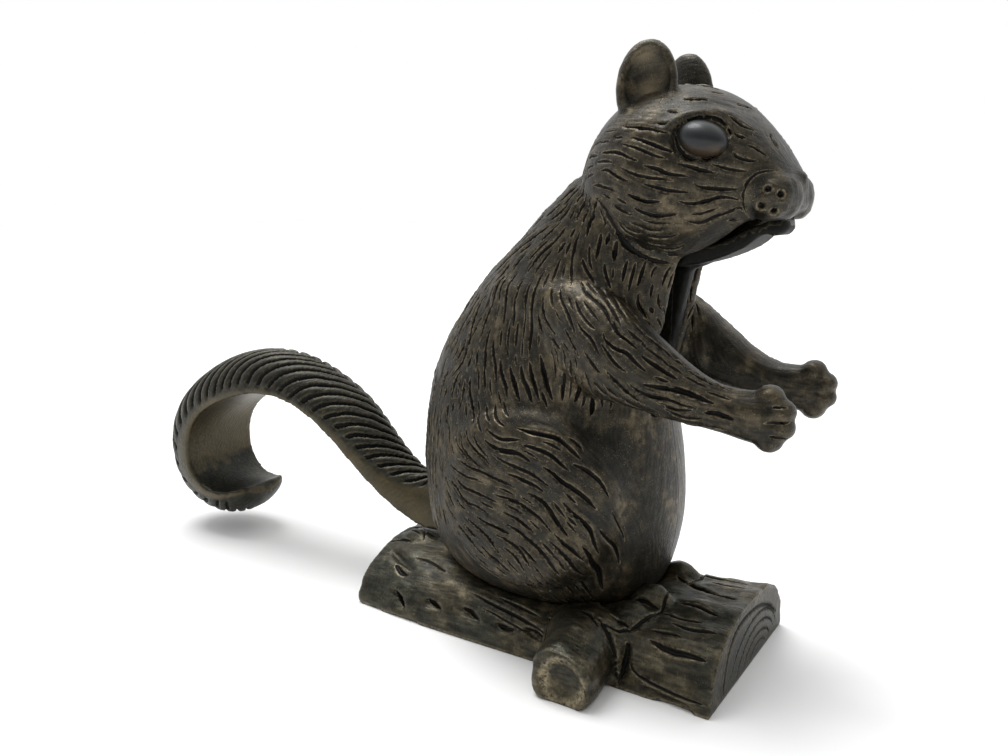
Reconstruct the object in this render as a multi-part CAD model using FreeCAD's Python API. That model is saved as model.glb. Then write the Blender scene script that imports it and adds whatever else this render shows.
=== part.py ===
import FreeCAD, Part
import math
import os

# Lever nutcracker: a cast squirrel on a log, with its tail as the lever and its lower jaw as the press.
# Millimetres. +X is the way the squirrel faces, +Y is its left side, +Z is up.
# The origin is at the middle of the log's underside.

os.makedirs("parts", exist_ok=True)

Vec = FreeCAD.Vector
ORIGIN = Vec(0, 0, 0)
FORWARD = Vec(1, 0, 0)
LEFT = Vec(0, 1, 0)
UP = Vec(0, 0, 1)

# Log base, a hollow casting with its bark side up.
log_length = 134.0
log_width = 67.0
log_height = 21.5
log_wall = 4.5
log_rib_thickness = 4.0
seat_height = 15.5
knot_radius = 11.6
knot_reach = 52.0
knot_x = 28.5
toe_length = 18.0
toe_width = 7.2
toe_half_height = 4.4

# Squirrel body, cast in two halves that meet on the middle plane.
body_half_width = 36.5
body_wall = 5.0
head_half_width = 28.0
eye_radius = 6.0
ear_height = 26.5
ear_half_length = 8.9
ear_wall = 1.6
arm_gap_half = 18.5
paw_radius = 3.9
lip_rise = 125.3
palate_depth = 9.0
palate_length = 22.0
throat_bottom_rise = 64.0
back_slot_top_rise = 66.0
back_slot_bottom_rise = 4.5

# Lever: jaw, web and tail in one casting that turns on a pin inside the shoulders.
pivot_x = 2.0
pivot_rise = 88.5
pin_radius = 4.0
pin_length = 46.0
pin_running_gap = 0.05
lever_boss_radius = 12.0
lever_boss_half = 7.0
web_thickness = 5.0
jaw_half_width = 8.9
jaw_thickness = 5.0
jaw_tip_x = 75.5
jaw_heel_x = 44.0
bite_gap = 1.2
jaw_side_gap = 0.6
lever_side_gap = 0.7
tail_root_half_width = 9.0
tail_half_width = 18.0
tail_thickness = 16.0
tail_dish = 4.2
tail_rim = 2.4

# Fasteners: clamp screws through the left half, dowels between the halves, screws up through the log.
clamp_screw_radius = 2.5
clamp_head_radius = 4.6
clamp_head_height = 3.2
clamp_boss_radius = 7.0
clamp_thread_depth = 14.0
dowel_radius = 2.0
dowel_length = 16.0
dowel_boss_radius = 5.0
base_screw_radius = 2.5
base_screw_spacing = 32.0
base_screw_x = 9.0
base_screw_engagement = 14.0
base_boss_radius = 7.5
base_boss_wall = 9.0
base_head_radius = 4.6
base_head_height = 3.2
washer_radius = 5.6
washer_thickness = 1.2
screw_hole_gap = 0.25
slot_width = 1.2
slot_depth = 1.3


def above_seat(forward, left, rise):
    """Point in the squirrel, with its height counted from the seat on the log."""
    return Vec(forward, left, seat_height + rise)


def keep_sign(value, power):
    return math.copysign(abs(value) ** power, value)


def oval(centre, across, along, half_across, half_along, fullness=2.0, count=16):
    """Closed smooth outline round a centre. Fullness 2 is an ellipse, and more is squarer."""
    points = []
    for step in range(count):
        angle = 2 * math.pi * step / count
        shift_across = across * (half_across * keep_sign(math.cos(angle), 2 / fullness))
        shift_along = along * (half_along * keep_sign(math.sin(angle), 2 / fullness))
        points.append(centre + shift_across + shift_along)
    spline = Part.BSplineCurve()
    spline.interpolate(Points=points, PeriodicFlag=True)
    return Part.Wire([spline.toShape()])


def arch(foot, side, rise, half_width, height, fullness=2.0, count=10):
    """Closed outline with a straight foot and a round top, for the log and the tail."""
    points = []
    for step in range(count + 1):
        angle = math.pi * step / count
        shift_side = side * (half_width * keep_sign(math.cos(angle), 2 / fullness))
        shift_rise = rise * (height * keep_sign(math.sin(angle), 2 / fullness))
        points.append(foot + shift_side + shift_rise)
    spline = Part.BSplineCurve()
    spline.interpolate(points)
    return Part.Wire([spline.toShape(), Part.LineSegment(points[-1], points[0]).toShape()])


def loft(outlines):
    return Part.makeLoft(outlines, True, False)


def box_between(low, high):
    size = high - low
    return Part.makeBox(size.x, size.y, size.z, low)


def rod(start, direction, radius, length):
    return Part.makeCylinder(radius, length, start, direction)


def ellipsoid(centre, half_x, half_y, half_z):
    stretch = FreeCAD.Matrix()
    stretch.A11 = half_x
    stretch.A22 = half_y
    stretch.A33 = half_z
    ball = Part.makeSphere(1.0).transformGeometry(stretch)
    ball.translate(centre)
    return ball


def slab(corners, half_thickness):
    """Upright plate from an outline of (forward, rise) corners, centred on the middle plane."""
    points = [above_seat(forward, -half_thickness, rise) for forward, rise in corners]
    face = Part.Face(Part.makePolygon(points + points[:1]))
    return face.extrude(LEFT * (2 * half_thickness))


def mirrored(shape):
    return shape.mirror(ORIGIN, LEFT)


def write(name, shape):
    shape.removeSplitter().exportStep(os.path.join("parts", name + ".step"))


# Squirrel torso: level sections from the seat up to the nape.
# Each row is rise, back, front and share of the body's half width.
torso_rows = [
    (0.0, -30.0, 30.0, 0.62),
    (4.5, -38.0, 37.2, 0.79),
    (13.0, -45.0, 41.0, 0.92),
    (28.0, -48.5, 43.8, 0.99),
    (44.5, -49.5, 43.3, 1.00),
    (60.0, -48.0, 41.0, 0.97),
    (75.0, -44.5, 40.0, 0.90),
    (90.0, -37.0, 43.5, 0.81),
    (103.0, -27.5, 46.5, 0.72),
    (115.0, -15.5, 49.5, 0.63),
    (127.0, -1.0, 48.0, 0.54),
    (137.0, 10.0, 42.0, 0.42),
]


def torso(inset, floor, roof_row):
    """Egg-shaped trunk. The same rows drawn in by the wall give its hollow."""
    outlines = []
    for rise, back, front, share in torso_rows[: roof_row + 1]:
        if rise and rise <= floor:
            continue
        middle = above_seat((back + front) / 2, 0, max(rise, floor))
        depth = (front - back) / 2 - inset
        width = body_half_width * share - inset
        outlines.append(oval(middle, FORWARD, LEFT, depth, width, 2.15))
    return loft(outlines)


# Head: upright sections from the back of the skull to the lip.
# Each row is forward place, top, bottom and share of the head's half width.
head_rows = [
    (15.5, 149.0, 130.0, 0.40),
    (21.5, 155.5, 119.5, 0.74),
    (30.5, 161.3, 113.5, 0.95),
    (41.0, 163.3, 111.5, 1.00),
    (52.0, 161.8, 113.5, 0.92),
    (61.0, 156.7, 118.5, 0.76),
    (69.0, 148.5, 123.5, 0.56),
    (75.0, 140.0, 126.0, 0.38),
    (78.3, 134.0, 128.0, 0.18),
]


def head():
    outlines = []
    for forward, top, bottom, share in head_rows:
        middle = above_seat(forward, 0, (top + bottom) / 2)
        outlines.append(oval(middle, LEFT, UP, head_half_width * share, (top - bottom) / 2, 2.25))
    return loft(outlines)


# Thigh: outlines beside the flank, from the inside out.
# Each row is distance beyond the body's half width, half length and half height.
thigh_rows = [
    (-24.0, 33.5, 31.5),
    (-9.0, 32.0, 31.8),
    (-2.0, 27.5, 28.5),
    (1.6, 20.0, 22.0),
    (3.0, 9.0, 10.0),
]
thigh_middle_x = 3.0
thigh_middle_rise = 38.5


def thigh():
    """Rounded haunch that stands out from the flank."""
    outlines = []
    for out, half_length, half_height in thigh_rows:
        middle = above_seat(thigh_middle_x, -(body_half_width + out), thigh_middle_rise)
        outlines.append(oval(middle, FORWARD, UP, half_length, half_height, 2.2))
    return loft(outlines)


# Right arm from shoulder to paw.
# Each row is forward place, distance beyond the arm gap, rise, half height and half thickness.
arm_rows = [
    (-14.0, -4.0, 99.0, 9.0, 7.0),
    (4.0, 0.5, 95.5, 13.5, 9.8),
    (20.0, 3.8, 91.0, 15.2, 10.8),
    (34.0, 7.6, 84.8, 13.7, 10.4),
    (48.0, 7.5, 78.8, 9.6, 8.5),
    (58.0, 6.5, 74.8, 7.3, 7.5),
    (67.0, 5.5, 72.7, 6.5, 6.5),
    (75.0, 5.2, 71.8, 7.4, 6.0),
    (80.0, 5.0, 71.8, 7.0, 4.4),
]
# Knuckles: rise above the paw's middle, and forward place.
knuckles = [(5.8, 78.2), (2.1, 81.6), (-2.2, 81.6), (-6.0, 78.6)]


def arm():
    """Fore leg held out in front. The side towards the other leg is flat."""
    centres = [above_seat(forward, -(arm_gap_half + out), rise) for forward, out, rise, _, _ in arm_rows]
    outlines = []
    for index, (_, _, _, half_height, half_thickness) in enumerate(arm_rows):
        ahead = centres[min(index + 1, len(centres) - 1)]
        behind = centres[max(index - 1, 0)]
        heading = (ahead - behind).normalize()
        side = heading.cross(UP).normalize()
        rise = side.cross(heading).normalize()
        outlines.append(oval(centres[index], side, rise, half_thickness, half_height, 2.2, 12))
    limb = loft(outlines)
    paw = centres[-1]
    for rise, forward in knuckles:
        knuckle = ellipsoid(Vec(forward, paw.y, paw.z + rise), paw_radius, paw_radius * 1.2, paw_radius * 0.9)
        limb = limb.fuse(knuckle)
    free_start = jaw_heel_x
    gap = box_between(above_seat(free_start, -arm_gap_half, 40), above_seat(120, 0, 115))
    return limb.cut(gap)


def ear():
    """Upright spoon-shaped ear, hollowed towards the side."""
    shell = ellipsoid(ORIGIN, ear_half_length, 4.6, ear_height / 2)
    hollow = ellipsoid(Vec(0.8, -4.4, 0), ear_half_length - ear_wall, 6.0, ear_height / 2 - ear_wall)
    spoon = shell.cut(hollow)
    spoon.rotate(ORIGIN, UP, 12)
    spoon.rotate(ORIGIN, FORWARD, -8)
    spoon.translate(above_seat(35.8, 12 - head_half_width, 162))
    return spoon


def right_outside():
    """Everything that shows of the right half, as one solid without its hollow."""
    right_side = box_between(above_seat(-150, -100, 0), above_seat(150, 0, 250))
    solid = torso(0, 0, len(torso_rows) - 1).common(right_side)
    eye = ellipsoid(above_seat(54.8, 7.5 - head_half_width, 146.3), eye_radius, 6, eye_radius * 0.85)
    whisker_pad = ellipsoid(above_seat(71.2, -6.6, 131.3), 7.2, 8.4, 7.6)
    nose = ellipsoid(above_seat(74.6, 0, 135.6), 3.8, 4.6, 3.2)
    for piece in (head(), thigh(), arm(), ear(), eye, whisker_pad, nose):
        solid = solid.fuse(piece.common(right_side))
    return solid


# Clamp screws: forward place, rise, and how far from the middle plane the head seats.
clamp_rows = [(14.0, 32.5, 33.0), (-24.0, 92.0, 14.0), (36.0, 142.5, 18.0)]
# Dowels: forward place and rise.
dowel_rows = [(24.0, 50.5), (20.0, 133.0)]


def right_hollow():
    """Hollow of the trunk with the slots that the lever swings in."""
    space = torso(body_wall, body_wall, 9)
    throat_half = jaw_half_width + jaw_side_gap
    throat = box_between(
        above_seat(jaw_heel_x - 28, -throat_half, throat_bottom_rise), above_seat(120, throat_half, lip_rise)
    )
    palate = ellipsoid(above_seat(56, 0, lip_rise), palate_length / 2, throat_half - 0.8, palate_depth)
    slot_half = tail_root_half_width + lever_side_gap
    back_slot = box_between(
        above_seat(-70, -slot_half, back_slot_bottom_rise), above_seat(-25, slot_half, back_slot_top_rise)
    )
    return space.fuse(throat).fuse(palate).fuse(back_slot)


def right_half():
    """Hollow half with the pivot boss, clamp bosses, dowel bosses and foot bosses cast in."""
    outside = right_outside()
    reach = body_half_width + 20
    bosses = [rod(above_seat(pivot_x, -(lever_boss_half + lever_side_gap), pivot_rise), -LEFT, 10, reach)]
    for forward, rise, _ in clamp_rows:
        bosses.append(rod(above_seat(forward, 0, rise), -LEFT, clamp_boss_radius, reach))
    for forward, rise in dowel_rows:
        bosses.append(rod(above_seat(forward, 0, rise), -LEFT, dowel_boss_radius, reach))
    foot = above_seat(base_screw_x, -base_screw_spacing / 2, 0)
    bosses.append(rod(foot, UP, base_boss_radius, base_screw_engagement + 4))
    solid = outside.cut(right_hollow())
    for boss in bosses:
        solid = solid.fuse(boss.common(outside))
    pin_seat = above_seat(pivot_x, -pin_length / 2, pivot_rise)
    solid = solid.cut(rod(pin_seat, LEFT, pin_radius, pin_length))
    for forward, rise in dowel_rows:
        start = above_seat(forward, -dowel_length / 2, rise)
        solid = solid.cut(rod(start, LEFT, dowel_radius, dowel_length))
    return solid.cut(rod(foot, UP, base_screw_radius, base_screw_engagement))


half = right_half()
tapped = half
drilled = mirrored(half)
clamp_screws = []
for forward, rise, grip in clamp_rows:
    tip = above_seat(forward, -clamp_thread_depth, rise)
    seat = above_seat(forward, grip, rise)
    tapped = tapped.cut(rod(tip, LEFT, clamp_screw_radius, clamp_thread_depth))
    drilled = drilled.cut(rod(above_seat(forward, 0, rise), LEFT, clamp_screw_radius + screw_hole_gap, grip))
    drilled = drilled.cut(rod(seat, LEFT, clamp_head_radius + screw_hole_gap, 60))
    shank = rod(tip, LEFT, clamp_screw_radius, clamp_thread_depth + grip)
    screw = shank.fuse(rod(seat, LEFT, clamp_head_radius, clamp_head_height))
    slot_floor = seat + LEFT * (clamp_head_height - slot_depth)
    slot = box_between(slot_floor - Vec(10, 0, slot_width / 2), slot_floor + Vec(10, 10, slot_width / 2))
    clamp_screws.append(screw.cut(slot))
write("right_body_half", tapped)
write("left_body_half", drilled)
write("clamp_screws", Part.makeCompound(clamp_screws))

dowels = [rod(above_seat(x, -dowel_length / 2, rise), LEFT, dowel_radius, dowel_length) for x, rise in dowel_rows]
write("locating_dowels", Part.makeCompound(dowels))
write("pivot_pin", rod(above_seat(pivot_x, -pin_length / 2, pivot_rise), LEFT, pin_radius, pin_length))


# Tail and crank, as sections along the lever from the pivot to the curled tip.
# Each row is the place on the inner face, the heading in degrees, thickness and half width as shares.
# The crank's half widths are shares of the root's, and the tail's are shares of the widest part's.
crank_rows = [
    (9.0, 96.5, -97, 0.92, 0.76),
    (5.0, 69.5, -102, 0.88, 0.76),
    (-3.5, 44.5, -117, 0.88, 0.84),
    (-18.0, 23.5, -143, 0.96, 0.94),
    (-38.0, 11.0, -174, 1.08, 1.00),
    (-56.0, 9.3, 168, 1.10, 1.00),
]
tail_rows = [
    (-71.0, 17.0, 146, 0.90, 0.60),
    (-85.0, 28.2, 137, 0.86, 0.69),
    (-98.0, 39.8, 141, 0.90, 0.77),
    (-112.0, 48.8, 156, 0.84, 0.85),
    (-131.0, 52.9, 181, 0.96, 0.95),
    (-150.0, 49.3, 200, 1.10, 1.00),
    (-166.0, 42.3, 218, 1.12, 1.00),
    (-176.0, 33.0, 245, 1.28, 1.00),
    (-179.0, 21.5, 270, 1.43, 1.00),
    (-176.0, 11.5, 300, 1.26, 1.00),
    (-168.0, 6.0, 334, 0.94, 0.96),
    (-160.0, 5.5, 6, 0.72, 0.90),
    (-154.6, 6.6, 14, 0.52, 0.78),
    (-151.4, 7.7, 20, 0.30, 0.54),
]


def section_frame(row):
    """Middle of a section's inner face, and the way its back faces."""
    forward, rise, heading = row[:3]
    turn = math.radians(heading)
    return above_seat(forward, 0, rise), Vec(math.sin(turn), 0, -math.cos(turn))


def tail_and_crank():
    """One bent bar: half round behind, flat on the inner side, and widest in the curl."""
    outlines = []
    for rows, widest in ((crank_rows, tail_root_half_width), (tail_rows, tail_half_width)):
        for row in rows:
            inner, back = section_frame(row)
            thick, wide = row[3:]
            outlines.append(arch(inner, LEFT, back, widest * wide, tail_thickness * thick, 2.1))
    return loft(outlines)


def tail_trough():
    """Shallow trough along the tail's inner face, deepest where the tail is widest."""
    outlines = []
    for row in tail_rows:
        inner, back = section_frame(row)
        thick, wide = row[3:]
        depth = tail_dish * thick * (wide - 0.5) / 0.5
        outlines.append(oval(inner, LEFT, back, tail_half_width * wide - tail_rim, depth))
    return loft(outlines)


def jaw():
    """Lower jaw: a dished bar with a round tip, under the lip at rest."""
    top_tip = lip_rise - bite_gap
    points = [
        (jaw_heel_x, 115.5),
        (58, 118.5),
        (jaw_tip_x - 1.6, top_tip),
        (jaw_tip_x - 0.4, top_tip - 2.4),
        (jaw_tip_x - 6, top_tip - jaw_thickness + 1),
        (60, 114.8),
        (jaw_heel_x, 115.5 - jaw_thickness),
    ]
    places = [above_seat(forward, -jaw_half_width, rise) for forward, rise in points]
    top = Part.Arc(places[0], places[1], places[2]).toShape()
    lip = Part.Arc(places[2], places[3], places[4]).toShape()
    under = Part.Arc(places[4], places[5], places[6]).toShape()
    heel = Part.LineSegment(places[6], places[0]).toShape()
    bar = Part.Face(Part.Wire([top, lip, under, heel])).extrude(LEFT * (2 * jaw_half_width))
    tip_middle = jaw_tip_x - jaw_half_width
    plan = box_between(above_seat(0, -jaw_half_width, 90), above_seat(tip_middle, jaw_half_width, 140))
    plan = plan.fuse(rod(above_seat(tip_middle, 0, 90), UP, jaw_half_width, 50))
    return bar.common(plan)


def lever():
    """Jaw, web, pivot boss, crank and tail as one casting, bored for the pin."""
    web = slab(
        [(4, 99.5), (38, 113.5), (60, 116), (50, 111), (jaw_heel_x + 1.8, 109.5), (41, 86), (37, 78), (4, 77)],
        web_thickness / 2,
    )
    boss = rod(above_seat(pivot_x, -lever_boss_half, pivot_rise), LEFT, lever_boss_radius, 2 * lever_boss_half)
    solid = tail_and_crank().fuse(boss).fuse(web).fuse(jaw()).cut(tail_trough())
    bore_start = above_seat(pivot_x, -2 * lever_boss_half, pivot_rise)
    return solid.cut(rod(bore_start, LEFT, pin_radius + pin_running_gap, 4 * lever_boss_half))


write("tail_lever", lever())

# Log: sections from the rear end to the front end.
# Each row is forward place, half width and height as shares, and how square the section is.
log_rows = [
    (-0.5, 0.96, 0.90, 2.0),
    (-0.38, 1.00, 0.98, 2.1),
    (-0.15, 1.03, 0.95, 2.5),
    (0.15, 1.02, 0.92, 2.5),
    (0.38, 1.03, 1.01, 2.4),
    (0.52, 1.06, 1.09, 2.4),
]


def log_form(inset):
    outlines = []
    for place, wide, tall, fullness in log_rows:
        half_width = log_width / 2 * wide - inset
        foot = Vec(place * (log_length - 2 * inset), 0, 0)
        outlines.append(arch(foot, LEFT, UP, half_width, log_height * tall - inset, fullness))
    return loft(outlines)


# Knot: share of its reach, forward shift, half width and half height as shares of its radius.
knot_rows = [(0.42, -4.0, 1.25, 1.08), (0.69, -2.0, 1.04, 0.98), (0.88, 0.0, 1.03, 0.94), (1.0, 1.0, 0.88, 0.84)]


def knot():
    """Stub of a sawn branch on the right side of the log."""
    outlines = []
    for out, slide, wide, tall in knot_rows:
        middle = Vec(knot_x + slide, -knot_reach * out, knot_radius * 0.66)
        outlines.append(oval(middle, FORWARD, UP, knot_radius * wide, knot_radius * tall, 2.2))
    return loft(outlines)


# Toes of the hind feet, cast on the log: forward place and distance from the middle plane.
toe_rows = [(40.0, 11.5), (36.5, 17.8), (32.0, 23.5)]


def toes():
    lumps = []
    for forward, out in toe_rows:
        rise = log_height - 0.018 * out ** 2
        for side in (-1, 1):
            middle = Vec(forward, side * out, rise)
            lumps.append(ellipsoid(middle, toe_length / 2, toe_width / 2, toe_half_height))
    return lumps


def log_base():
    """Hollow log with its knot and toes, a cross rib, and a seat cut for the squirrel."""
    outside = log_form(0).fuse(knot())
    for toe in toes():
        outside = outside.fuse(toe)
    ground = box_between(Vec(-150, -100, 0), Vec(150, 100, 100))
    outside = outside.common(ground)
    under_seat = box_between(Vec(-log_length, -log_width, 0), Vec(log_length, log_width, seat_height - log_wall))
    solid = outside.cut(log_form(log_wall).common(under_seat))
    rib_low = Vec(-log_rib_thickness / 2, -log_width / 2, 0)
    rib_high = Vec(log_rib_thickness / 2, log_width / 2, log_height)
    solid = solid.fuse(box_between(rib_low, rib_high).common(outside))
    washer_face = seat_height - base_boss_wall
    for side in (-1, 1):
        place = Vec(base_screw_x, side * base_screw_spacing / 2, washer_face)
        solid = solid.fuse(rod(place, UP, base_boss_radius, base_boss_wall + 3).common(outside))
        solid = solid.cut(rod(place, UP, base_screw_radius + screw_hole_gap, base_boss_wall + 10))
    return solid.cut(torso(-0.3, 0, 4))


write("log_base", log_base())

base_screws = []
base_washers = []
for side in (-1, 1):
    boss_face = Vec(base_screw_x, side * base_screw_spacing / 2, seat_height - base_boss_wall)
    washer = rod(boss_face, -UP, washer_radius, washer_thickness)
    washer = washer.cut(rod(boss_face, -UP, base_screw_radius + screw_hole_gap, washer_thickness))
    base_washers.append(washer)
    under_head = boss_face - UP * washer_thickness
    shank_length = washer_thickness + base_boss_wall + base_screw_engagement
    screw = rod(under_head, UP, base_screw_radius, shank_length)
    screw = screw.fuse(rod(under_head, -UP, base_head_radius, base_head_height))
    slot_top = under_head - UP * (base_head_height - slot_depth)
    slot = box_between(slot_top - Vec(10, slot_width / 2, 10), slot_top + Vec(10, slot_width / 2, 0))
    base_screws.append(screw.cut(slot))
write("base_washers", Part.makeCompound(base_washers))
write("base_screws", Part.makeCompound(base_screws))
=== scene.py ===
import math
from functools import partial

import bmesh
import bpy
import numpy as np
from mathutils import Matrix, Vector, noise
from mathutils.bvhtree import BVHTree
from mathutils.kdtree import KDTree


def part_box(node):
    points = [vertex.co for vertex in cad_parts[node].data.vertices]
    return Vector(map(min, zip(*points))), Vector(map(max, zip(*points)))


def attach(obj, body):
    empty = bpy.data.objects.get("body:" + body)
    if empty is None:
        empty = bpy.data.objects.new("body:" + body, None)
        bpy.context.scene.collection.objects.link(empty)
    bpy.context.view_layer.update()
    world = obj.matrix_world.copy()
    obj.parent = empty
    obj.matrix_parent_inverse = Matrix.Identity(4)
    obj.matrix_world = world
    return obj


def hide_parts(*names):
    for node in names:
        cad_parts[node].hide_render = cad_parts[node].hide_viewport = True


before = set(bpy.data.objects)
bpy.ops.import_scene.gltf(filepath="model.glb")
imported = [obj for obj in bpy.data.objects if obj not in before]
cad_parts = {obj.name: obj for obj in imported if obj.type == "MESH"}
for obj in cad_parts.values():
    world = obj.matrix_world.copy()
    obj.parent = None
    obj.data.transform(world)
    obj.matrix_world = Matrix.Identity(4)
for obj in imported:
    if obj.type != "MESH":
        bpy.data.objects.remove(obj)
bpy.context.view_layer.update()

MM = 0.001
ROOT_BODY = "squirrel_on_log"
LEVER_BODY = "lever"
seat_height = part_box("right_body_half")[0].z


# Log base: a sand-cast bronze log, flat below, with bark, a sawn knot and the squirrel's hind toes cast on.
# An even copy of the casting is carved with bark grooves, dents along its flank and rings on its ends.
# Every casting that follows is copied and carved in the same way.
log_grain = 0.95 * MM
cut_step = 0.2 * MM
weld_gap = 0.002 * MM
seam_weld_gap = 0.01 * MM


def new_piece(shape, name):
    """Puts the shape in the scene under a name."""
    mesh = bpy.data.meshes.new(name)
    shape.to_mesh(mesh)
    shape.free()
    piece = bpy.data.objects.new(name, mesh)
    bpy.context.scene.collection.objects.link(piece)
    return piece


def casting_copy(node, name, grain, mirror_in=False):
    """Closed even-faced copy of a CAD casting. A half is joined to its mirror image, to be parted again."""
    shape = bmesh.new()
    shape.from_mesh(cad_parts[node].data)
    bmesh.ops.remove_doubles(shape, verts=shape.verts, dist=weld_gap)
    if mirror_in:
        flat = [face for face in shape.faces if all(abs(vert.co.y) < seam_weld_gap for vert in face.verts)]
        bmesh.ops.delete(shape, geom=flat, context="FACES")
        twin = bmesh.ops.duplicate(shape, geom=shape.verts[:] + shape.edges[:] + shape.faces[:])["geom"]
        twin_verts = [part for part in twin if isinstance(part, bmesh.types.BMVert)]
        twin_faces = [part for part in twin if isinstance(part, bmesh.types.BMFace)]
        bmesh.ops.scale(shape, verts=twin_verts, vec=(1, -1, 1))
        bmesh.ops.reverse_faces(shape, faces=twin_faces)
        bmesh.ops.remove_doubles(shape, verts=shape.verts, dist=seam_weld_gap)
    piece = new_piece(shape, name)
    skin = piece.modifiers.new("even faces", "REMESH")
    skin.mode = "VOXEL"
    skin.voxel_size = grain
    bake_modifiers(piece)
    return piece


def bake_modifiers(piece):
    """Makes the shape that the modifiers give the piece's own mesh."""
    graph = bpy.context.evaluated_depsgraph_get()
    mesh = bpy.data.meshes.new_from_object(piece.evaluated_get(graph))
    piece.modifiers.clear()
    old = piece.data
    piece.data = mesh
    mesh.name = piece.name
    bpy.data.meshes.remove(old)


def read_rows(items, key, kind=float, width=3):
    """Numbers of a mesh's points or edges, one row for each."""
    rows = np.empty(len(items) * width, dtype=kind)
    items.foreach_get(key, rows)
    return rows.reshape(-1, width)


def read_points(mesh):
    return read_rows(mesh.vertices, "co")


def read_normals(mesh):
    return read_rows(mesh.vertex_normals, "vector")


def read_ends(mesh):
    return read_rows(mesh.edges, "vertices", np.int64, 2)


def write_points(mesh, places):
    mesh.vertices.foreach_set("co", places.ravel())
    mesh.update()


def neighbour_mean(values, ends):
    """Mean of each point's neighbours, for one column or several."""
    count = np.bincount(ends.ravel(), minlength=len(values))
    columns = []
    for column in values.T:
        total = np.bincount(ends[:, 0], weights=column[ends[:, 1]], minlength=len(values))
        total += np.bincount(ends[:, 1], weights=column[ends[:, 0]], minlength=len(values))
        columns.append(total / np.maximum(count, 1))
    return np.array(columns).T


def ease_corners(piece, rounds):
    """Rounds off steps and sharp corners as a mould does. Each pass in has its pass out, against shrinking."""
    pass_in, pass_out = 0.5, -0.52
    places = read_points(piece.data)
    ends = read_ends(piece.data)
    for _ in range(rounds):
        for share in (pass_in, pass_out):
            places += share * (neighbour_mean(places, ends) - places)
    write_points(piece.data, places)


def surface_of(piece):
    mesh = piece.data
    corners = [face.vertices for face in mesh.polygons]
    return BVHTree.FromPolygons([vert.co for vert in mesh.vertices], corners)


def thin_out_hidden(piece, keep_share):
    """Coarser faces where no light from outside reaches, such as the walls of a closed hollow."""
    mesh = piece.data
    surface = surface_of(piece)
    axes = ((0, 0, 0), (1, 0, 0), (-1, 0, 0), (0, 1, 0), (0, -1, 0), (0, 0, 1), (0, 0, -1))
    tilts = [Vector(axis) * 0.9 for axis in axes]
    group = piece.vertex_groups.new(name="hidden")
    hidden = []
    for vert in mesh.vertices:
        start = vert.co + vert.normal * 0.3 * MM
        if all(surface.ray_cast(start, (vert.normal + tilt).normalized())[0] for tilt in tilts):
            hidden.append(vert.index)
    group.add(hidden, 1.0, "REPLACE")
    thinner = piece.modifiers.new("hidden walls", "DECIMATE")
    thinner.vertex_group = group.name
    thinner.vertex_group_factor = 100
    thinner.ratio = 1 - (1 - keep_share) * len(hidden) / len(mesh.vertices)
    bake_modifiers(piece)
    piece.vertex_groups.clear()


def smooth_line(points, step):
    """Points every step along a smooth curve through a few set ones."""
    points = [Vector(point) for point in points]
    padded = [points[0] * 2 - points[1]] + points + [points[-1] * 2 - points[-2]]
    line = []
    for before, start, end, after in zip(padded, padded[1:], padded[2:], padded[3:]):
        count = max(int((end - start).length / step), 1)
        bend = before * 2 - start * 5 + end * 4 - after
        twist = start * 3 - before - end * 3 + after
        for index in range(count):
            share = index / count
            line.append(start + (end - before) * share / 2 + bend * share ** 2 / 2 + twist * share ** 3 / 2)
    line.append(points[-1])
    return line


def lay_cuts(surface, rows, aim, depth_share=0.6, longest_jump=3 * MM):
    """Lays tapered cuts on a surface. Each row is a width and the points of its line, in millimetres.
    Aim turns a point of the line into a ray that finds the surface.
    Gives place, half width and depth of each bit of a cut."""
    fewest_tapered, least_swell = 8, 0.02
    bits = []
    for width, points in rows:
        if len(points) == 1:
            points = [points[0], (points[0][0] + 0.01, points[0][1])]
        line = smooth_line([Vector(point) * MM for point in points], cut_step)
        places = []
        for point in line:
            start, toward = aim(point)
            place = surface.ray_cast(start, toward)[0]
            if place is None or (places and (place - places[-1]).length > longest_jump):
                continue
            places.append(place)
        for index, place in enumerate(places):
            swell = 1.0
            if len(places) > fewest_tapered:
                swell = max(math.sin(math.pi * (index + 0.5) / len(places)), least_swell) ** 0.5
            bits.append((place, width * MM / 2 * swell, width * MM * depth_share * swell))
    return bits


def tree_of(bits):
    """Finds the bit of a cut that lies nearest to a place."""
    tree = KDTree(len(bits))
    for index, bit in enumerate(bits):
        tree.insert(bit[0], index)
    tree.balance()
    return tree


def split_faces(piece, chosen):
    """Splits the edges between chosen points, with the faces beside them."""
    shape = bmesh.new()
    shape.from_mesh(piece.data)
    edges = [edge for edge in shape.edges if all(vert.index in chosen for vert in edge.verts)]
    bmesh.ops.subdivide_edges(shape, edges=edges, cuts=1, use_grid_fill=True)
    bmesh.ops.triangulate(shape, faces=[face for face in shape.faces if len(face.verts) > 4])
    shape.to_mesh(piece.data)
    shape.free()


def finer_faces(piece, bits, margin):
    """Splits the faces that lie near a cut."""
    tree = tree_of(bits)
    near = set()
    for vert in piece.data.vertices:
        _, index, distance = tree.find(vert.co)
        if distance < bits[index][1] + margin:
            near.add(vert.index)
    split_faces(piece, near)


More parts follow.
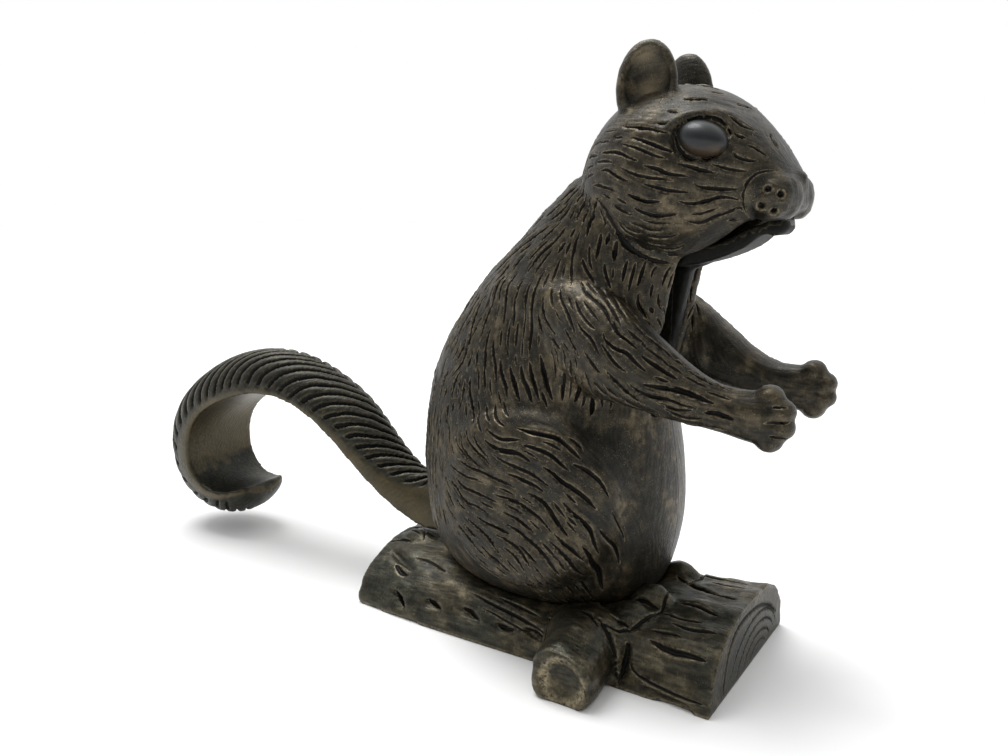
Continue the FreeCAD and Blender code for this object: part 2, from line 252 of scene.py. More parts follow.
def cut_in(piece, bits, lip_height=0.3):
    """Presses the cuts into the surface, with a low swell along each side.
    Gives each point's distance from the nearest cut, in half widths, which the material turns into the patina
    and painted shade in the cuts and a painted highlight on their lips."""
    lip_width, full_black_depth = 1.8, 0.45 * MM
    tree = tree_of(bits)
    mesh = piece.data
    places = read_points(mesh)
    normals = read_normals(mesh)
    found = [tree.find(place)[1:] for place in places]
    nearest = np.array([index for index, _ in found])
    distance = np.array([gap for _, gap in found])
    half_width = np.array([bit[1] for bit in bits])[nearest]
    depth = np.array([bit[2] for bit in bits])[nearest]
    share = distance / half_width
    trough = np.where(share < 1, (1 - np.minimum(share, 1) ** 2) ** 1.2, 0)
    on_lip = (share > 1) & (share < 1 + lip_width)
    lip = np.where(on_lip, np.sin((share - 1) / lip_width * math.pi), 0)
    places += normals * (depth * (lip_height * lip - trough))[:, None]
    write_points(mesh, places)
    # Shallow cuts count as farther off and are painted less dark: painted shade that deepens with the cut.
    shallow = 1 - np.clip(depth / full_black_depth, 0, 1)
    return np.clip(share + 0.7 * shallow, 0, 3)


def soften(piece, bits, rounds):
    """Blends a crease away as a thumb does in clay. A bit's half width is how far the blending reaches."""
    tree = tree_of(bits)
    places = read_points(piece.data)
    ends = read_ends(piece.data)
    found = [tree.find(place)[1:] for place in places]
    weight = np.array([max(0, 1 - gap / bits[index][1]) for index, gap in found])[:, None]
    weight = weight * weight * (3 - 2 * weight)
    for _ in range(rounds):
        places += 0.6 * weight * (neighbour_mean(places, ends) - places)
    write_points(piece.data, places)


def mark(piece, name, values):
    """Stores a number for each point, which the patina and painted light read."""
    layer = piece.data.attributes.new(name, "FLOAT", "POINT")
    layer.data.foreach_set("value", np.asarray(values, dtype=np.float32))


def mark_way(piece, name, ways):
    """Stores a direction for each point."""
    layer = piece.data.attributes.new(name, "FLOAT_VECTOR", "POINT")
    layer.data.foreach_set("vector", np.asarray(ways, dtype=np.float32).ravel())


def rubbed_edges(piece, full_bend):
    """How far each point stands out from its neighbours, 0 to 1. Hands and cloths wear these bright."""
    mesh = piece.data
    places = read_points(mesh)
    ends = read_ends(mesh)
    lengths = np.linalg.norm(places[ends[:, 0]] - places[ends[:, 1]], axis=1)
    total = np.bincount(ends.ravel(), weights=np.repeat(lengths, 2), minlength=len(places))
    spacing = total / np.maximum(np.bincount(ends.ravel(), minlength=len(places)), 1)
    stand_out = np.einsum("ij,ij->i", places - neighbour_mean(places, ends), read_normals(mesh))
    stand_out = stand_out / spacing ** 2
    for _ in range(2):
        stand_out = 0.5 * stand_out + 0.5 * neighbour_mean(stand_out[:, None], ends)[:, 0]
    return np.clip(stand_out * full_bend, 0, 1)


def from_right(point):
    return Vector((point.x, -0.15, seat_height + point.y)), Vector((0, 1, 0))


def from_above(point):
    return Vector((point.x, point.y, 0.25)), Vector((0, 0, -1))


def from_front(point):
    return Vector((0.2, point.x, point.y)), Vector((-1, 0, 0))


def from_rear(point):
    return Vector((-0.2, point.x, point.y)), Vector((1, 0, 0))


def ring(centre_x, half_x, half_y, first=8, last=172, count=18):
    """Points round the upper part of an oval that stands on the log's flat underside."""
    points = []
    for index in range(count + 1):
        angle = math.radians(first + (last - first) * index / count)
        points.append((centre_x + half_x * math.cos(angle), half_y * math.sin(angle)))
    return points


# Bark grooves seen from above: width, then forward and left places.
bark_grooves = [
    (2.0, [(41.5, 7), (49.2, 3), (57.2, -0.4), (65, -2)]),
    (1.6, [(49.7, -10.9), (55.6, -11.5), (64, -14)]),
    (1.4, [(46, -16.5), (54, -17.5), (61, -17.8)]),
    (1.5, [(51, -20.5), (56.8, -21.5), (66.7, -21.7)]),
    (1.3, [(46, -24), (51.9, -24.9), (57, -25.8)]),
    (2.0, [(47, -27.4), (55.6, -28.9), (61.9, -29.2), (66.4, -30)]),
    (1.3, [(53, -5.5), (59, -6.5), (66, -8)]),
    (1.3, [(52, 8), (59, 7), (66, 6.5)]),
    (1.5, [(46, 15), (55, 13.5), (65, 13)]),
    (1.4, [(44, 22), (54, 20.5), (66, 20)]),
    (1.5, [(30, 30), (44, 27.5), (60, 27.5)]),
    (2.4, [(31, -30.5), (35, -31.5), (40, -33.2)]),
    (1.8, [(24, -29), (29, -31), (33, -33.5)]),
    (2.0, [(-54.5, -24.5), (-50.5, -26.5), (-47, -27)]),
    (1.5, [(-67, -14), (-61, -12.5), (-56, -13)]),
    (1.4, [(-67, -1), (-61, -2), (-56, -5), (-51, -12)]),
    (1.4, [(-66, 10), (-58, 9), (-50, 12)]),
    (1.3, [(-66, -6), (-60, -8), (-54, -10)]),
    (1.4, [(-62, 20), (-50, 21), (-38, 24)]),
    (1.4, [(-56, 27), (-42, 28.5), (-26, 29)]),
    (1.5, [(-22, 28), (-6, 30), (14, 30)]),
    (1.2, [(-50, -20), (-40, -21), (-31, -24)]),
    (1.2, [(-40, 14), (-52, 15), (-60, 15)]),
]
# Shallow dents along the right flank and folds of bark round the knot: width, then forward place and height.
flank_dents = [
    (4.0, [(-61, 1.2), (-56, 0.6), (-50, 0.2), (-45, -0.4)]),
    (5.0, [(-51.5, -7.4), (-47.5, -9), (-43.5, -12.5)]),
    (4.4, [(-36, -6.8), (-31, -7.6), (-27, -8.8)]),
    (4.4, [(-20.6, -6), (-16, -6.6), (-11, -8.6)]),
    (4.2, [(-6.6, -7.8), (-1.5, -8.3), (3.4, -7.6)]),
    (4.0, [(5, -6), (10, -6.8), (13.5, -8.4), (15.5, -10.2)]),
    (5.0, [(41, -2.5), (41, -8), (40.2, -13)]),
    (4.0, [(17.4, -7), (17, -12)]),
    (4.4, [(47, -12.5), (55, -14), (66, -14.6)]),
]
flank_cuts = [
    (2.2, [(-50, -8), (-47.5, -9), (-44.5, -12)]),
    (2.0, [(-34.4, -7.2), (-31, -7.6), (-28.3, -8.4)]),
    (2.0, [(-19.1, -6.3), (-16, -6.6), (-12.7, -8.2)]),
    (1.9, [(-5, -8), (-1.5, -8.3), (1.9, -7.8)]),
    (1.8, [(6, -6.4), (10, -6.8), (13.5, -8.4), (15.5, -10.2)]),
    (1.2, [(-19, -1), (-9.2, -2.4), (-2.1, -3.2), (8.5, -4.6), (15, -6.2), (19, -7)]),
    (0.9, [(-14, -3.6), (-4, -5), (4, -6.4), (12, -8.6)]),
    (1.0, [(-8, -0.6), (2, -1.6), (10, -2.4)]),
    (1.2, [(12.3, -2), (17, -3.2), (21, -3.6)]),
    (1.3, [(42, -5.5), (46, -9), (50.4, -10), (55.3, -11), (60, -11.4), (69, -11.4)]),
    (1.8, [(40.6, -2), (41.2, -6), (41, -10), (40.2, -14)]),
    (1.3, [(18, -6), (17.4, -10), (18, -14)]),
]
# Bark rim and growth rings on the front end: width, then left place and height.
bark_rim = [(-24.5, 1), (-23.5, 8), (-21, 14), (-16, 18), (-9, 19.4), (0, 19), (9, 17.4), (20, 13.2), (29, 7)]
front_rings = [(1.6, bark_rim), (0.9, ring(5, 24, 15.5)), (0.8, ring(7, 19, 11.8)), (0.8, ring(8, 14, 8.2)),
               (0.7, ring(9, 9, 4.8))]
rear_rings = [(0.9, ring(0, half, half * 0.6)) for half in (26, 20, 14, 8)]
# Where the knot grows out of the flank: a line up its left side and over its top.
knot_root = [(18.5, -34, 2), (19, -34.2, 8), (21.5, -33.6, 13), (26, -32.8, 16.6), (32, -32.6, 17)]
# Toes and bumps that rise from the log: forward and left places, half length, half width and height.
swellings = [
    (33, -28, 9, 5, 2.4), (38, -20, 9, 5.5, 2.6), (39, -10.5, 9, 6, 2.4), (33, 28, 9, 5, 2.2),
    (38, 20, 9, 5.5, 2.4), (41, 10.5, 9, 6, 2.6), (24, -33, 9, 4, 1.2), (10, -30.5, 16, 3, 0.9),
    (-56, -7, 9, 7, 2.0), (-60, 5, 8, 6, 1.6), (30, -36, 8, 5, 1.6), (58, -8, 12, 3, 0.8),
    (58, -25, 11, 3, 0.9),
]
toe_outlines = [
    (1.3, [(31, -31.5), (35.5, -29.8), (39, -27), (43, -22.8), (45.6, -17), (46, -10.5), (44.5, -4.5)]),
]
for side in (-1, 1):
    toe_outlines.append((1.3, [(31.5, side * 24.6), (35, side * 24.8), (40, side * 25.6)]))
    toe_outlines.append((1.3, [(35, side * 15.6), (39, side * 15.4), (45, side * 15)]))
toe_outlines.append((1.3, [(31, 32), (36, 30.5), (42, 25), (47, 18), (49, 10.5), (46, 4)]))

log_piece = casting_copy("log_base", "carved_log", log_grain)
ease_corners(log_piece, 4)
thin_out_hidden(log_piece, 0.3)

# The bark rises and falls in long ridges, and the toes swell up, before the grooves are cut.
# It stays flat under the squirrel's seat, which is an oval, and low along the log's foot.
seat_half_length, seat_half_width = 38.5 * MM, 31.5 * MM
ridge_height, lump_height, pit_depth = 0.85, 0.5, 0.5
places = read_points(log_piece.data)
normals = read_normals(log_piece.data)
lifts = []
for place, normal in zip(places, normals):
    bark = max(0, min(1, (place[2] - 1.5 * MM) / (2 * MM))) * max(normal[2], abs(normal[1]), 0)
    in_seat = math.hypot(place[0] / seat_half_length, place[1] / seat_half_width)
    open_bark = max(0, min(1, (in_seat - 0.96) * 5)) if normal[2] > -0.2 else 0
    long_ridge = noise.noise(Vector((place[0] * 16, place[1] * 150, place[2] * 150)))
    lump = noise.noise(Vector((place[0] * 150, place[1] * 190, place[2] * 190)))
    pit = min(noise.noise(Vector(place) * 520) + 0.15, 0)
    lift = bark * open_bark * (ridge_height * long_ridge + lump_height * lump + pit_depth * pit)
    for forward, left, half_length, half_width, height in swellings:
        gap = math.hypot((place[0] / MM - forward) / half_length, (place[1] / MM - left) / half_width)
        if gap < 1 and normal[2] > 0.1:
            lift += height * (1 - gap * gap) ** 1.5 * open_bark
    lifts.append(lift * MM)
places += normals * np.array(lifts)[:, None]

# The knot narrows to its sawn face, which is dished inside a lumpy rim.
knot_middle = np.array((30.6, 7.4)) * MM
knot_reach, dish_depth = 16 * MM, 2.3 * MM
from_heart = places[:, (0, 2)] - knot_middle
off_heart = np.linalg.norm(from_heart, axis=1)
outward = np.clip((-places[:, 1] - 33 * MM) / (9 * MM), 0, 1) * (off_heart < knot_reach)
waver = np.array([noise.noise(Vector((place[0], 0, place[2])) * 190) for place in places])
squeeze = outward * (0.1 + 0.1 * waver) * np.clip(places[:, 2] / (6 * MM), 0, 1)
places[:, 0] -= from_heart[:, 0] * squeeze
places[:, 2] -= from_heart[:, 1] * squeeze
sawn = np.clip(-normals[:, 1] * 3 - 1.6, 0, 1) * (outward > 0.7)
rim_reach = (6.9 + 1.3 * waver) * MM
places[:, 1] += sawn * dish_depth * np.clip(1.25 - off_heart / rim_reach, 0, 0.6) / 0.6
write_points(log_piece.data, places)
ease_corners(log_piece, 2)
root_line = smooth_line([Vector(point) * MM for point in knot_root], cut_step)
soften(log_piece, [(place, 8 * MM, 0) for place in root_line], 60)
cut_in(log_piece, lay_cuts(surface_of(log_piece), flank_dents, from_right, 0.45), 0.12)
knot_ring = np.clip(1.4 - np.abs(off_heart / rim_reach - 1.05) / 0.22, 0, 1) * sawn

log_surface = surface_of(log_piece)
log_cuts = []
for rows, aim, depth_share in ((bark_grooves, from_above, 0.5), (flank_cuts, from_right, 0.5),
                               (front_rings, from_front, 0.55), (rear_rings, from_rear, 0.5),
                               (toe_outlines, from_above, 0.6)):
    log_cuts += lay_cuts(log_surface, rows, aim, depth_share)
# The bright ring is stored while the faces are split, so that the new points get their share of it.
mark(log_piece, "ring", knot_ring)
finer_faces(log_piece, log_cuts, 0.8 * MM)
cut_field = cut_in(log_piece, log_cuts)
# The sawn front end is painted darker all over with a share of the cut black: painted shade on the end that
# faces away from the light.
front_end_painted_shade = (read_normals(log_piece.data)[:, 0] > 0.8) & (read_points(log_piece.data)[:, 0] > 64 * MM)
mark(log_piece, "cut_and_shade", np.where(front_end_painted_shade, np.minimum(cut_field, 0.86), cut_field))
ring_layer = log_piece.data.attributes["ring"]
knot_ring = read_rows(ring_layer.data, "value", width=1)[:, 0]
log_piece.data.attributes.remove(ring_layer)
foot_wear = np.clip(1.4 - read_points(log_piece.data)[:, 2] / MM, 0, 0.8)
mark(log_piece, "rubbed_and_highlit", np.maximum(np.maximum(rubbed_edges(log_piece, 1.1 * MM), knot_ring), foot_wear))
mark_way(log_piece, "lie", [(1, 0, 0)] * len(log_piece.data.vertices))


# Patina and wear, with painted light: the bronze is stained almost black, waxed, and has worn back to brown
# metal on high places; shade in the cuts and highlights on their lips are painted in.
# One node group gives colour, roughness and grain height from the carving's own marks.
# Each casting sets its own tints.
def socket(tree, name, kind, way, value=None):
    made = tree.interface.new_socket(name, in_out=way, socket_type=kind)
    if value is not None:
        made.default_value = value


def link_chain(tree, *pairs):
    for start, end in pairs:
        tree.links.new(start, end)


def fill_sockets(tree, node, places, values):
    """Links each value that is a socket, and sets each one that is a number or a colour."""
    for place, value in zip(places, values):
        if isinstance(value, bpy.types.NodeSocket):
            tree.links.new(value, node.inputs[place])
        else:
            node.inputs[place].default_value = value


def mix_colour(tree, mode, factor, first, second):
    """A Mix node for colours. Each of factor, first and second is a socket or a value."""
    node = tree.nodes.new("ShaderNodeMix")
    node.data_type = "RGBA"
    node.blend_type = mode
    fill_sockets(tree, node, (0, 6, 7), (factor, first, second))
    return node.outputs[2]


def arithmetic(tree, mode, *values):
    """A Math node. Each value is a socket or a number."""
    node = tree.nodes.new("ShaderNodeMath")
    node.operation = mode
    fill_sockets(tree, node, range(len(values)), values)
    return node.outputs[0]


def spread(tree, value, low, high, to_low=0.0, to_high=1.0):
    """A Map Range node, clamped."""
    node = tree.nodes.new("ShaderNodeMapRange")
    fill_sockets(tree, node, range(5), (value, low, high, to_low, to_high))
    return node.outputs[0]


def speckle(tree, vector, scale, detail, roughness):
    node = tree.nodes.new("ShaderNodeTexNoise")
    fill_sockets(tree, node, ("Vector", "Scale", "Detail", "Roughness"), (vector, scale, detail, roughness))
    return node.outputs["Fac"]


def stored(tree, name, output="Fac"):
    node = tree.nodes.new("ShaderNodeAttribute")
    node.attribute_name = name
    return node.outputs[output]


def build_patina_and_painted_light():
    """Colour, roughness and grain height of stained, waxed and rubbed bronze, with painted shade in the cuts
    and painted highlights on their lips.
    """
    tree = bpy.data.node_groups.new("stained bronze with painted light", "ShaderNodeTree")
    modes = ("MULTIPLY", "ADD", "SUBTRACT", "MAXIMUM")
    times, plus, minus, larger = (partial(arithmetic, tree, mode) for mode in modes)
    for name in ("Stain", "Second Stain", "Rubbed Metal And Highlight", "Patina And Shade Black"):
        socket(tree, name, "NodeSocketColor", "INPUT", (0.02, 0.02, 0.02, 1))
    for name, value in (("Wear And Lip Highlight", 0.5), ("Brown Areas", 0.3), ("Cut And Shade", 3.0), ("Edge", 0.0), ("Bare", 0.0)):
        socket(tree, name, "NodeSocketFloat", "INPUT", value)
    socket(tree, "Lie", "NodeSocketVector", "INPUT")
    socket(tree, "Colour", "NodeSocketColor", "OUTPUT")
    socket(tree, "Roughness", "NodeSocketFloat", "OUTPUT")
    socket(tree, "Height", "NodeSocketFloat", "OUTPUT")
    inside = tree.nodes.new("NodeGroupInput").outputs
    outside = tree.nodes.new("NodeGroupOutput").inputs
    where = tree.nodes.new("ShaderNodeTexCoord").outputs["Object"]
    broad = speckle(tree, where, 55, 3, 0.55)
    medium = speckle(tree, where, 210, 4, 0.6)
    fine = speckle(tree, where, 900, 3, 0.65)
    strands = None
    for step in (-1.6, -0.8, 0.0, 0.8, 1.6):
        move = tree.nodes.new("ShaderNodeVectorMath")
        move.operation = "MULTIPLY_ADD"
        move.inputs[1].default_value = (step * MM, step * MM, step * MM)
        link_chain(tree, (inside["Lie"], move.inputs[0]), (where, move.inputs[2]))
        strand = speckle(tree, move.outputs[0], 900, 1, 0.5)
        strands = strand if strands is None else plus(strands, strand)
    strands = spread(tree, strands, 2.1, 2.9)
    grain = speckle(tree, where, 2600, 2, 0.7)

    # Cuts are near black: the patina left in them, and painted shade. The lip beside each gets a painted
    # highlight in the rubbed-metal colour.
    black = spread(tree, inside["Cut And Shade"], 0.95, 0.6)
    off_lip = arithmetic(tree, "ABSOLUTE", minus(inside["Cut And Shade"], 1.3))
    lip = spread(tree, off_lip, 0.38, 0.1)

    # Two stains lie in blotches, darker and lighter along the strands of fur.
    blotch = spread(tree, broad, 0.42, 0.6)
    base = mix_colour(tree, "MIX", blotch, inside["Stain"], inside["Second Stain"])
    mottle = spread(tree, medium, 0.3, 0.7, 0.6, 1.4)
    mottle = times(mottle, plus(times(strands, 0.9), 0.55))
    shade = tree.nodes.new("ShaderNodeCombineColor")
    link_chain(tree, *((mottle, channel) for channel in shade.inputs[:3]))
    base = mix_colour(tree, "MULTIPLY", 1.0, base, shade.outputs[0])

    # Brown metal shows on rubbed edges, in thin patches, on bare faces and as freckles; on the lips of the cuts
    # it is a painted highlight.
    broken = spread(tree, fine, 0.36, 0.6)
    # The lips of the cuts join the rubbed edges here as a painted highlight.
    edge = larger(inside["Edge"], times(lip, 0.6))
    rub_and_lip_highlight = times(times(edge, inside["Wear And Lip Highlight"]), broken)
    patch = times(spread(tree, medium, 0.48, 0.7), spread(tree, broad, 0.45, 0.65))
    patch = times(patch, inside["Brown Areas"])
    freckle = times(spread(tree, grain, 0.6, 0.72), 0.8)
    freckle = times(freckle, spread(tree, medium, 0.42, 0.6))
    brown = larger(larger(larger(patch, inside["Bare"]), rub_and_lip_highlight), freckle)
    rubbed_and_highlit = mix_colour(tree, "MIX", brown, base, inside["Rubbed Metal And Highlight"])
    colour = mix_colour(tree, "MIX", times(black, 0.94), rubbed_and_highlit, inside["Patina And Shade Black"])
    tree.links.new(colour, outside["Colour"])

    rough = spread(tree, fine, 0.25, 0.75, 0.36, 0.58)
    rough = plus(minus(rough, times(brown, 0.1)), times(black, 0.3))
    tree.links.new(rough, outside["Roughness"])

    height = plus(plus(times(grain, 0.3), times(fine, 0.5)), times(strands, 0.8))
    height = plus(height, spread(tree, fine, 0.3, 0.42, -0.7, 0.0))
    tree.links.new(minus(height, times(black, 1.6)), outside["Height"])
    return tree


patina_and_painted_light = build_patina_and_painted_light()


def new_material(name):
    """A material, its node tree and its shader."""
    material = bpy.data.materials.new(name)
    material.use_nodes = True
    return material, material.node_tree, material.node_tree.nodes["Principled BSDF"]


def bronze(name, stain, second, metal, wear_and_lip_highlight, brown_areas):
    """A casting's material: the patina and painted-light group with this casting's tints, under a thin wax
    coat.
    """
    material, tree, shader = new_material(name)
    skin = tree.nodes.new("ShaderNodeGroup")
    skin.node_tree = patina_and_painted_light
    for place, tint in (("Stain", stain), ("Second Stain", second), ("Rubbed Metal And Highlight", metal)):
        skin.inputs[place].default_value = (*tint, 1)
    skin.inputs["Patina And Shade Black"].default_value = (0.0022, 0.002, 0.0017, 1)
    skin.inputs["Wear And Lip Highlight"].default_value = wear_and_lip_highlight
    skin.inputs["Brown Areas"].default_value = brown_areas
    for place, layer in (("Cut And Shade", "cut_and_shade"), ("Edge", "rubbed_and_highlit"), ("Bare", "bare")):
        tree.links.new(stored(tree, layer), skin.inputs[place])
    tree.links.new(stored(tree, "lie", "Vector"), skin.inputs["Lie"])
    relief = tree.nodes.new("ShaderNodeBump")
    relief.inputs["Strength"].default_value = 0.75
    relief.inputs["Distance"].default_value = 0.12 * MM
    link_chain(tree, (skin.outputs["Colour"], shader.inputs["Base Color"]),
               (skin.outputs["Roughness"], shader.inputs["Roughness"]),
               (skin.outputs["Height"], relief.inputs["Height"]),
               (relief.outputs["Normal"], shader.inputs["Normal"]))
    shader.inputs["Metallic"].default_value = 0.75
    shader.inputs["Coat Weight"].default_value = 0.12
    shader.inputs["Coat Roughness"].default_value = 0.32
    return material


def dress(piece, material):
    piece.data.materials.clear()
    piece.data.materials.append(material)
    for face in piece.data.polygons:
        face.use_smooth = True


def finish_piece(piece, material, body, slot, *nodes):
    dress(piece, material)
    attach(piece, body)
    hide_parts(*nodes)


log_bronze = bronze("log bronze", (0.025, 0.0255, 0.0172), (0.042, 0.0355, 0.0205), (0.27, 0.225, 0.14),
                    wear_and_lip_highlight=1.0, brown_areas=0.45)
finish_piece(log_piece, log_bronze, ROOT_BODY, "log_bronze", "log_base")


# Squirrel's body: two hollow bronze castings that meet on the middle plane, screwed and dowelled together.
# The fur is chiselled in the pattern before casting, as short tapered cuts that follow the lie of the coat.
# Both sides carry the same cuts. Each list gives a cut's width and its points: forward, and up from the seat.
body_grain = 0.94 * MM
seam_gap = 0.012 * MM

face_cuts = [
    (1.0, [(32, 150.5), (40, 149.5), (47.5, 147.8)]),
    (1.1, [(36.3, 147.4), (40.5, 146), (46, 143.9), (50, 142.3)]),
    (1.1, [(32.8, 145.7), (39, 144), (44, 142), (47.5, 141)]),
    (1.1, [(25.3, 143.5), (31.5, 143.3), (36, 141.8), (39.8, 140.4)]),
    (0.9, [(30, 147.5), (33.5, 147.4)]),
    (1.1, [(40.3, 139.6), (44.6, 138.5), (48.3, 137), (53.6, 136.4)]),
    (1.0, [(49.8, 139.8), (53, 139), (56.5, 137.9), (59.9, 137.2)]),
    (1.1, [(33, 139.4), (36.8, 137.7), (41.8, 136.2), (49.5, 135.4)]),
    (1.1, [(25.5, 138.3), (28.8, 138.5), (32.5, 136.6), (37, 134.7)]),
    (1.1, [(40.5, 134.6), (43.5, 133.8), (48, 132.6), (53.5, 132)]),
    (1.0, [(22.5, 134.2), (25.5, 134.3), (30, 133.2), (32, 132.3)]),
    (1.1, [(35.5, 132), (38.3, 130.7), (42, 129.6), (46.3, 129.6)]),
    (1.0, [(54.3, 134.8), (56, 133.5), (60, 133), (65.5, 132.9)]),
    (1.1, [(50, 130), (53.2, 129.1), (57, 129.6), (60, 130.6), (63, 130.6), (65.3, 129.8)]),
    (1.0, [(30.5, 128.8), (34.5, 126.8), (37, 125.8)]),
    (1.1, [(37.5, 128.1), (40.5, 126.6), (44.5, 125.7), (50.3, 126.2)]),
    (1.1, [(51.5, 124.3), (55.5, 123.9), (59.5, 125.8), (63.8, 127.2)]),
    (0.9, [(60.5, 126.2), (64.5, 128), (65.2, 127)]),
    (1.0, [(35.5, 123.9), (39, 122.8), (42, 121.8), (45.5, 121.5)]),
    (1.0, [(40, 120), (44, 119.7), (47, 120), (49.5, 120.8)]),
    (1.0, [(41.5, 116.6), (45, 116.2), (47.8, 116.7), (49.5, 117.6)]),
    (0.9, [(45.5, 153.9), (48.5, 153.6)]),
    (0.9, [(48, 157.3), (52, 157.4), (54.5, 157)]),
    (0.8, [(53, 159.7), (56, 159.3)]),
    (0.9, [(60.2, 156.3), (63, 155), (65.2, 152.9)]),
    (0.9, [(60.5, 152.7), (62.8, 150.8), (64.5, 149.6), (67, 148.3)]),
    (0.9, [(68.8, 148.2), (70.3, 145.8), (72, 143.5)]),
    (0.9, [(62.5, 147.8), (64, 146.9), (65.5, 146.6)]),
    (0.9, [(65.8, 144.8), (67.8, 143.7), (71, 141.3)]),
    (0.9, [(63, 143), (64.5, 141.3), (67.5, 140.4), (69, 140.5)]),
    (0.9, [(58, 139.8), (60.8, 138.8), (63.8, 138), (67, 137.7)]),
    (1.9, [(72, 133)]),
    (1.9, [(75.3, 131.6)]),
    (1.9, [(70.2, 128.5)]),
    (1.9, [(73.5, 127)]),
    (1.2, [(48, 148.8), (50.4, 150.7), (54, 152), (58, 151.5), (60.8, 149), (62, 145.4)]),
    (1.1, [(48, 148.8), (49.2, 145), (51.4, 142), (55, 140.8), (58.8, 141.8), (62, 145.4)]),
]
soft_creases = [
    (2.2, [(23, 131.5), (26, 129), (28.5, 124.5), (31.5, 118.7), (35.5, 115.3), (39.5, 113), (44, 112),
           (46.5, 111.7)]),
    (1.1, [(66.6, 124), (65.9, 126.4), (65.7, 130), (66.3, 133.6), (68.2, 136.6), (71.3, 137.8),
           (75, 137.6)]),
    (1.6, [(39, 99), (41.5, 94), (44, 90)]),
]
neck_cuts = [
    (1.3, [(25.3, 131), (22.3, 127.5), (20.9, 123.2), (20.1, 118.8)]),
    (1.1, [(19.5, 132.3), (17, 127.5), (15.9, 123.8)]),
    (1.1, [(18.2, 121.6), (17, 117.5), (16.7, 113), (17.2, 108.5), (19, 104)]),
    (1.3, [(25, 121), (24.9, 117.5), (24.3, 112.7)]),
    (1.3, [(27.8, 121), (27.4, 119), (27, 117)]),
    (1.4, [(30, 118.6), (29.8, 115.5), (29.5, 112.3)]),
    (1.1, [(33.5, 113), (32.8, 110), (32.3, 106.3)]),
    (1.1, [(27, 112), (27.3, 109.8), (28.5, 106.5), (29.6, 104)]),
    (1.1, [(38.3, 113), (36.9, 108.3), (36.2, 105)]),
    (1.1, [(44.2, 111.3), (42.8, 108.5), (41.8, 105)]),
    (1.0, [(39.9, 106), (39.5, 103.8), (39.3, 101.8)]),
]
back_cuts = [
    (1.2, [(12.8, 122.7), (9.8, 118.4), (5.4, 114.6), (3, 111.8), (0.8, 107.5)]),
    (1.1, [(6.7, 118.3), (3.2, 115), (0.3, 112)]),
    (1.2, [(7, 123.5), (1, 119.7), (-6, 115.4), (-11, 111.5), (-16, 107)]),
    (1.1, [(13.5, 118), (11, 114.2)]),
    (1.1, [(12.6, 113), (11.7, 109.3), (11.2, 105.5)]),
    (1.2, [(8.4, 110.3), (6.8, 107), (6.1, 102.7), (6.1, 96.5), (6.1, 91), (5.9, 82.5)]),
    (1.1, [(15, 105.5), (16.5, 101.8), (19.8, 98), (22.5, 94.3), (24.5, 91.2)]),
    (1.1, [(9.5, 102.6), (10.8, 97), (13.3, 93.3), (17, 90.5)]),
    (1.2, [(-3, 108.3), (-4.6, 104.5), (-4.6, 99.5), (-4.8, 95.7), (-5, 92)]),
    (1.2, [(-7.7, 107.6), (-9.8, 104), (-10.4, 99), (-12.4, 94), (-13.6, 86)]),
    (1.1, [(-13.7, 103.4), (-17.2, 98), (-18.7, 92), (-18.6, 85), (-20.3, 78.7), (-26, 71.6)]),
    (1.1, [(-9.7, 91.6), (-10.6, 86), (-10, 80.8), (-9.3, 75), (-8.3, 69.5)]),
    (1.1, [(-7.8, 88.3), (-7.3, 83.8), (-5.6, 79), (-4.5, 74)]),
    (1.0, [(0.8, 93.5), (0.7, 88.8), (0.9, 85.5)]),
    (0.8, [(-18, 98.5), (-21, 92), (-23.5, 87)]),
    (0.8, [(-15, 94.5), (-17.3, 88), (-19, 83)]),
    (0.8, [(-27, 94.5), (-31.5, 87), (-34.5, 81)]),
    (0.8, [(-24, 101), (-28.5, 94), (-33, 86)]),
    (0.9, [(-27, 76), (-29.6, 68.5), (-31, 63)]),
    (0.9, [(-20, 77), (-22.5, 72), (-23.6, 66)]),
    (0.9, [(-17.6, 74.3), (-17.8, 69.8), (-18.8, 63)]),
    (1.2, [(-15.8, 75.2), (-15, 70.3), (-13, 65.5), (-11, 60.5)]),
    (1.5, [(-4.1, 81.8), (-3, 77.3), (-1, 73.5), (0.1, 69.8)]),
    (1.5, [(-0.3, 80.3), (0.9, 77), (2.8, 73), (4.5, 69)]),
    (1.5, [(3.5, 80.7), (4.6, 76.8), (6.8, 73.3), (8.6, 69.2)]),
    (1.5, [(6.4, 82), (7.4, 78.2), (9.3, 73.6), (11, 69.9)]),
    (1.5, [(9.7, 84.3), (11, 80), (12.8, 75), (14.9, 70.2)]),
    (1.5, [(18.5, 80), (17.7, 75), (17.7, 70.5)]),
    (1.6, [(23.5, 79.5), (23, 75), (21, 70)]),
    (1.8, [(26, 72), (25.7, 66.5)]),
]
